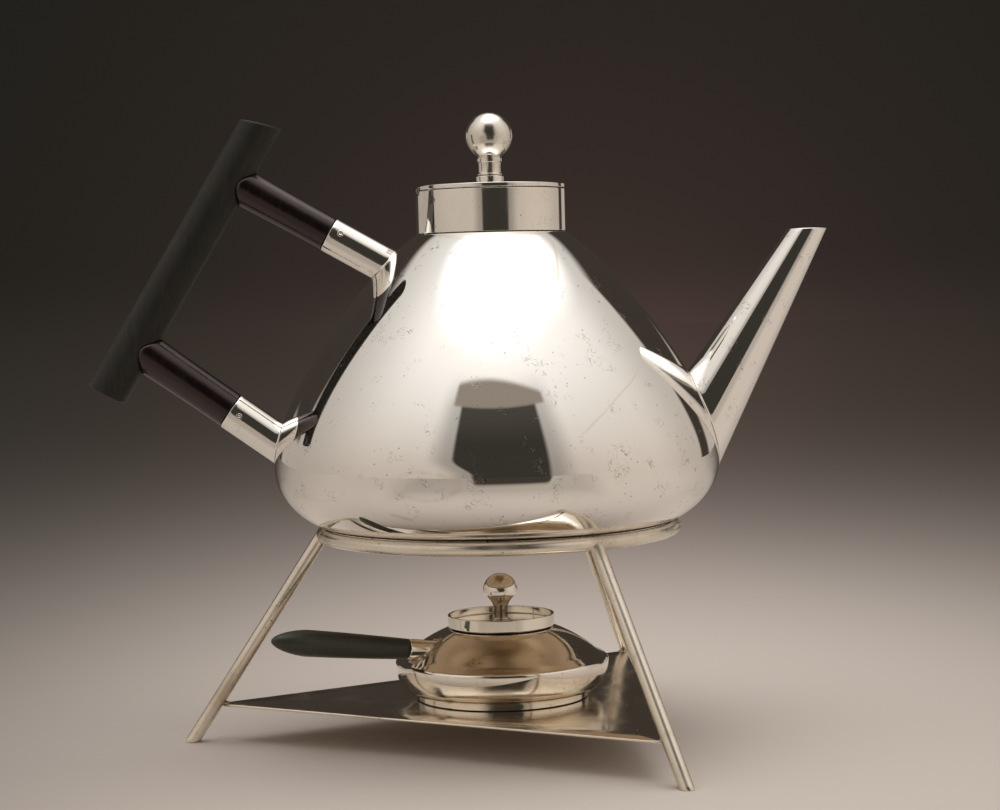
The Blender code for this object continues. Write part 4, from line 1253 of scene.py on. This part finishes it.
def floorFinish():
    # Pale paper in a painted pool of light that fades into painted darkness, as the camera sees it.
    # Polished metal sees it pale all round, with painted light lighter to the right, to the sides and
    # near the object, and painted shade behind the object and beyond the table's near edge.
    material, look, shader = newFinish("floor paper")
    p, b = paper, backdrop
    here = look.place()
    x, y = look.part(here, 0), look.part(here, 1)
    cameraX, cameraY, cameraHeight = cameraSizes["place"]
    # A painted pool of light: the paper's colour fades with distance from one place, faster to the left
    fromPool = x - p["pool"][0]
    across = fromPool.least(0) * p["leftFall"] + fromPool.most(0) * p["rightFall"]
    away = distance(across, y - p["pool"][1])
    pool = 1 / (1 + (away / p["fadeReach"]) ** p["fadePower"])
    # Beyond the pool the paper takes the backdrop's colour and its glow: a painted falloff into darkness
    ahead = (x - cameraX) / (y - cameraY) * (180 / math.pi) - b["glowBearing"]
    dark = np.array(b["dark"]) / np.array(p["lightLevel"])
    lit = dark + np.array(b["glow"]) / np.array(p["lightLevel"])
    lift = -math.degrees(cameraHeight) / distance(x - cameraX, y - cameraY)
    glow = glowShare(ahead, ahead * 0 + b["glowDrop"])
    far = look.scaled(look.mix(glow, dark, lit), hazeShare(lift))
    seen = look.mix(pool, far, p["pale"])

    bearing = x.bearing(0 - y).size()
    reach = distance(x, y)
    # Painted shade: the paper dark behind the object
    behind = bearing.step(*p["darkBearing"]) * reach.step(*p["darkReach"])
    # Painted light: the paper lighter to the sides and near the object
    sideLit = bearing.step(*p["sideBearing"]) * (1 - p["sideFall"] * bearing.step(*p["sideEnd"]))
    lightened = 1 + p["nearGain"] * sideLit.most(reach.step(*p["nearReach"], 1, 0))
    fromX, fromY = p["openingFrom"]
    side = (x - fromX) / (fromY - y)
    opening = side.step(*p["openingLeft"]) * side.step(*p["openingRight"], 1, 0)
    # Painted shade: the paper dark beyond the table's near edge
    beyond = y.step(*p["tableEdge"], 1, 0) * opening
    # Painted light: the paper lighter to the right
    paintedUnevenLight = look.scaled(look.mix(x.step(*p["leftToRight"]), p["left"], p["right"]), lightened)
    reflected = look.mix(behind.most(beyond), paintedUnevenLight, p["dark"])
    path = look.node("ShaderNodeLightPath", output="Is Camera Ray")
    colour = look.mix(path, reflected, seen)
    normal = look.bump(look.noise(here, p["grain"], 2), p["grainDepth"])
    steady = {"Roughness": 0.95, "Specular IOR Level": 0.0}
    dress(look, shader, {"Base Color": colour, "Normal": normal}, steady)
    return material


def makeFloor():
    ways = ringWays(upward, 96)
    reach = np.array([0, 0.5, 2, paper["reach"]])[:, None, None]
    toMesh("floor", reach * ways, floorFinish())


def makeSurround():
    # The light tent by direction: pale walls that brighten upwards, a bright top, a dark gap where
    # the camera stands with a paler band over it, and the dark backdrop
    p, b = tent, backdrop
    world = bpy.data.worlds.new("tent")
    world.use_nodes = True
    bpy.context.scene.world = world
    look = Look(world.node_tree)
    way = look.node("ShaderNodeTexCoord", output="Generated")
    x, y, z = (look.part(way, k) for k in range(3))
    az = x.bearing(0 - y)
    el = z.maths("ARCSINE", z) * (180 / math.pi)

    # Walls: a power of the height, darker to the far sides and beside the gap
    rise = el.maths("ADD", el * (1 / p["wallSpan"]), -p["wallFoot"] / p["wallSpan"], clamp=True)
    level = look.mix(rise ** p["wallPower"], p["wallLow"], p["wallHigh"])
    sideTone = 1 - az.step(*p["farLeft"], p["farLeftFall"], 0)
    sideTone = sideTone + az.step(*p["right"]) * p["rightGain"] * el.step(*p["rightTop"], 1, 0)
    sideTone = sideTone - az.step(*p["farRight"]) * p["farRightFall"]
    left = p["gapLeft"] - p["gapWiden"] * el.step(*p["gapWidenAt"])
    outside = (left - az).most(az - p["besideRight"])
    beside = outside.step(*p["besideGap"], 1, 0) * el.step(*p["besideTop"], 1, 0)
    walls = look.scaled(level, sideTone * (1 - p["besideFall"] * beside))
    lowered = az.step(*p["dropRight"]) + az.step(*p["dropLeft"], 1, 0)
    above = (el + p["overheadDrop"] * lowered).step(*p["overheadFrom"])
    around = look.mix(above, walls, p["overhead"])

    # The band: its top bows down to both sides, top - bow (az - middle)^2
    off = az - p["bandMiddle"]
    bandTop = p["bandTop"] - p["bandBow"] * off * off
    inBand = az.step(*p["bandLeft"]) * az.step(*p["bandRight"], 1, 0)
    inBand = inBand * (el - bandTop).step(*p["bandEdge"], 1, 0) * el.step(*p["bandFoot"])
    around = look.mix(inBand, around, p["band"])
    inGap = (az - left).step(-1.2, 1.2) * az.step(*p["gapRight"], 1, 0) * el.step(*p["gapTop"], 1, 0)
    gapTone = look.scaled(p["gap"], 1 + el.step(*p["gapRise"]) * p["gapGain"])
    around = look.mix(inGap, around, gapTone)

    # The backdrop, with two low places where its edge steps down
    rightIn, rightOut, leftIn, leftOut = p["steps"]
    low = az.step(*rightIn) * az.step(*rightOut, 1, 0) + az.step(*leftIn) * az.step(*leftOut, 1, 0)
    back = az.size().step(*p["behindFrom"]) * el.step(*p["behindTop"], 1, 0)
    back = back * (1 - low * el.step(*p["stepTop"], 1, 0))
    around = look.mix(back, around, p["behind"])

    ahead = x.bearing(y) - b["glowBearing"]
    lit = tuple(edge + glow for edge, glow in zip(b["dark"], b["glow"]))
    seen = look.mix(glowShare(ahead, el + b["glowDrop"]), b["dark"], lit)
    path = look.node("ShaderNodeLightPath", output="Is Camera Ray")
    colour = look.mix(path, around, look.scaled(seen, hazeShare(el)))
    look.tree.links.new(colour.socket, look.tree.nodes["Background"].inputs["Color"])


def makeCamera():
    p = cameraSizes
    yaw, pitch, roll = (math.radians(p[key]) for key in ("yaw", "pitch", "roll"))
    ahead = np.array([math.sin(yaw) * math.cos(pitch), math.cos(yaw) * math.cos(pitch), math.sin(pitch)])
    right = np.array([math.cos(yaw), -math.sin(yaw), 0])
    above = np.cross(right, ahead)
    turned = right * math.cos(roll) + above * math.sin(roll)
    top = above * math.cos(roll) - right * math.sin(roll)
    camera = bpy.data.objects.new("camera", bpy.data.cameras.new("camera"))
    camera.data.lens = p["lens"]
    camera.data.clip_end = 20
    matrix = np.eye(4)
    matrix[:3, :3] = np.stack([turned, top, -ahead], 1)
    matrix[:3, 3] = p["place"]
    camera.matrix_world = Matrix(matrix)
    bpy.context.scene.collection.objects.link(camera)
    bpy.context.scene.camera = camera


makeFloor()
makeSurround()
makeCamera()
bpy.context.scene.view_settings.view_transform = "Standard"
print("studio ready")
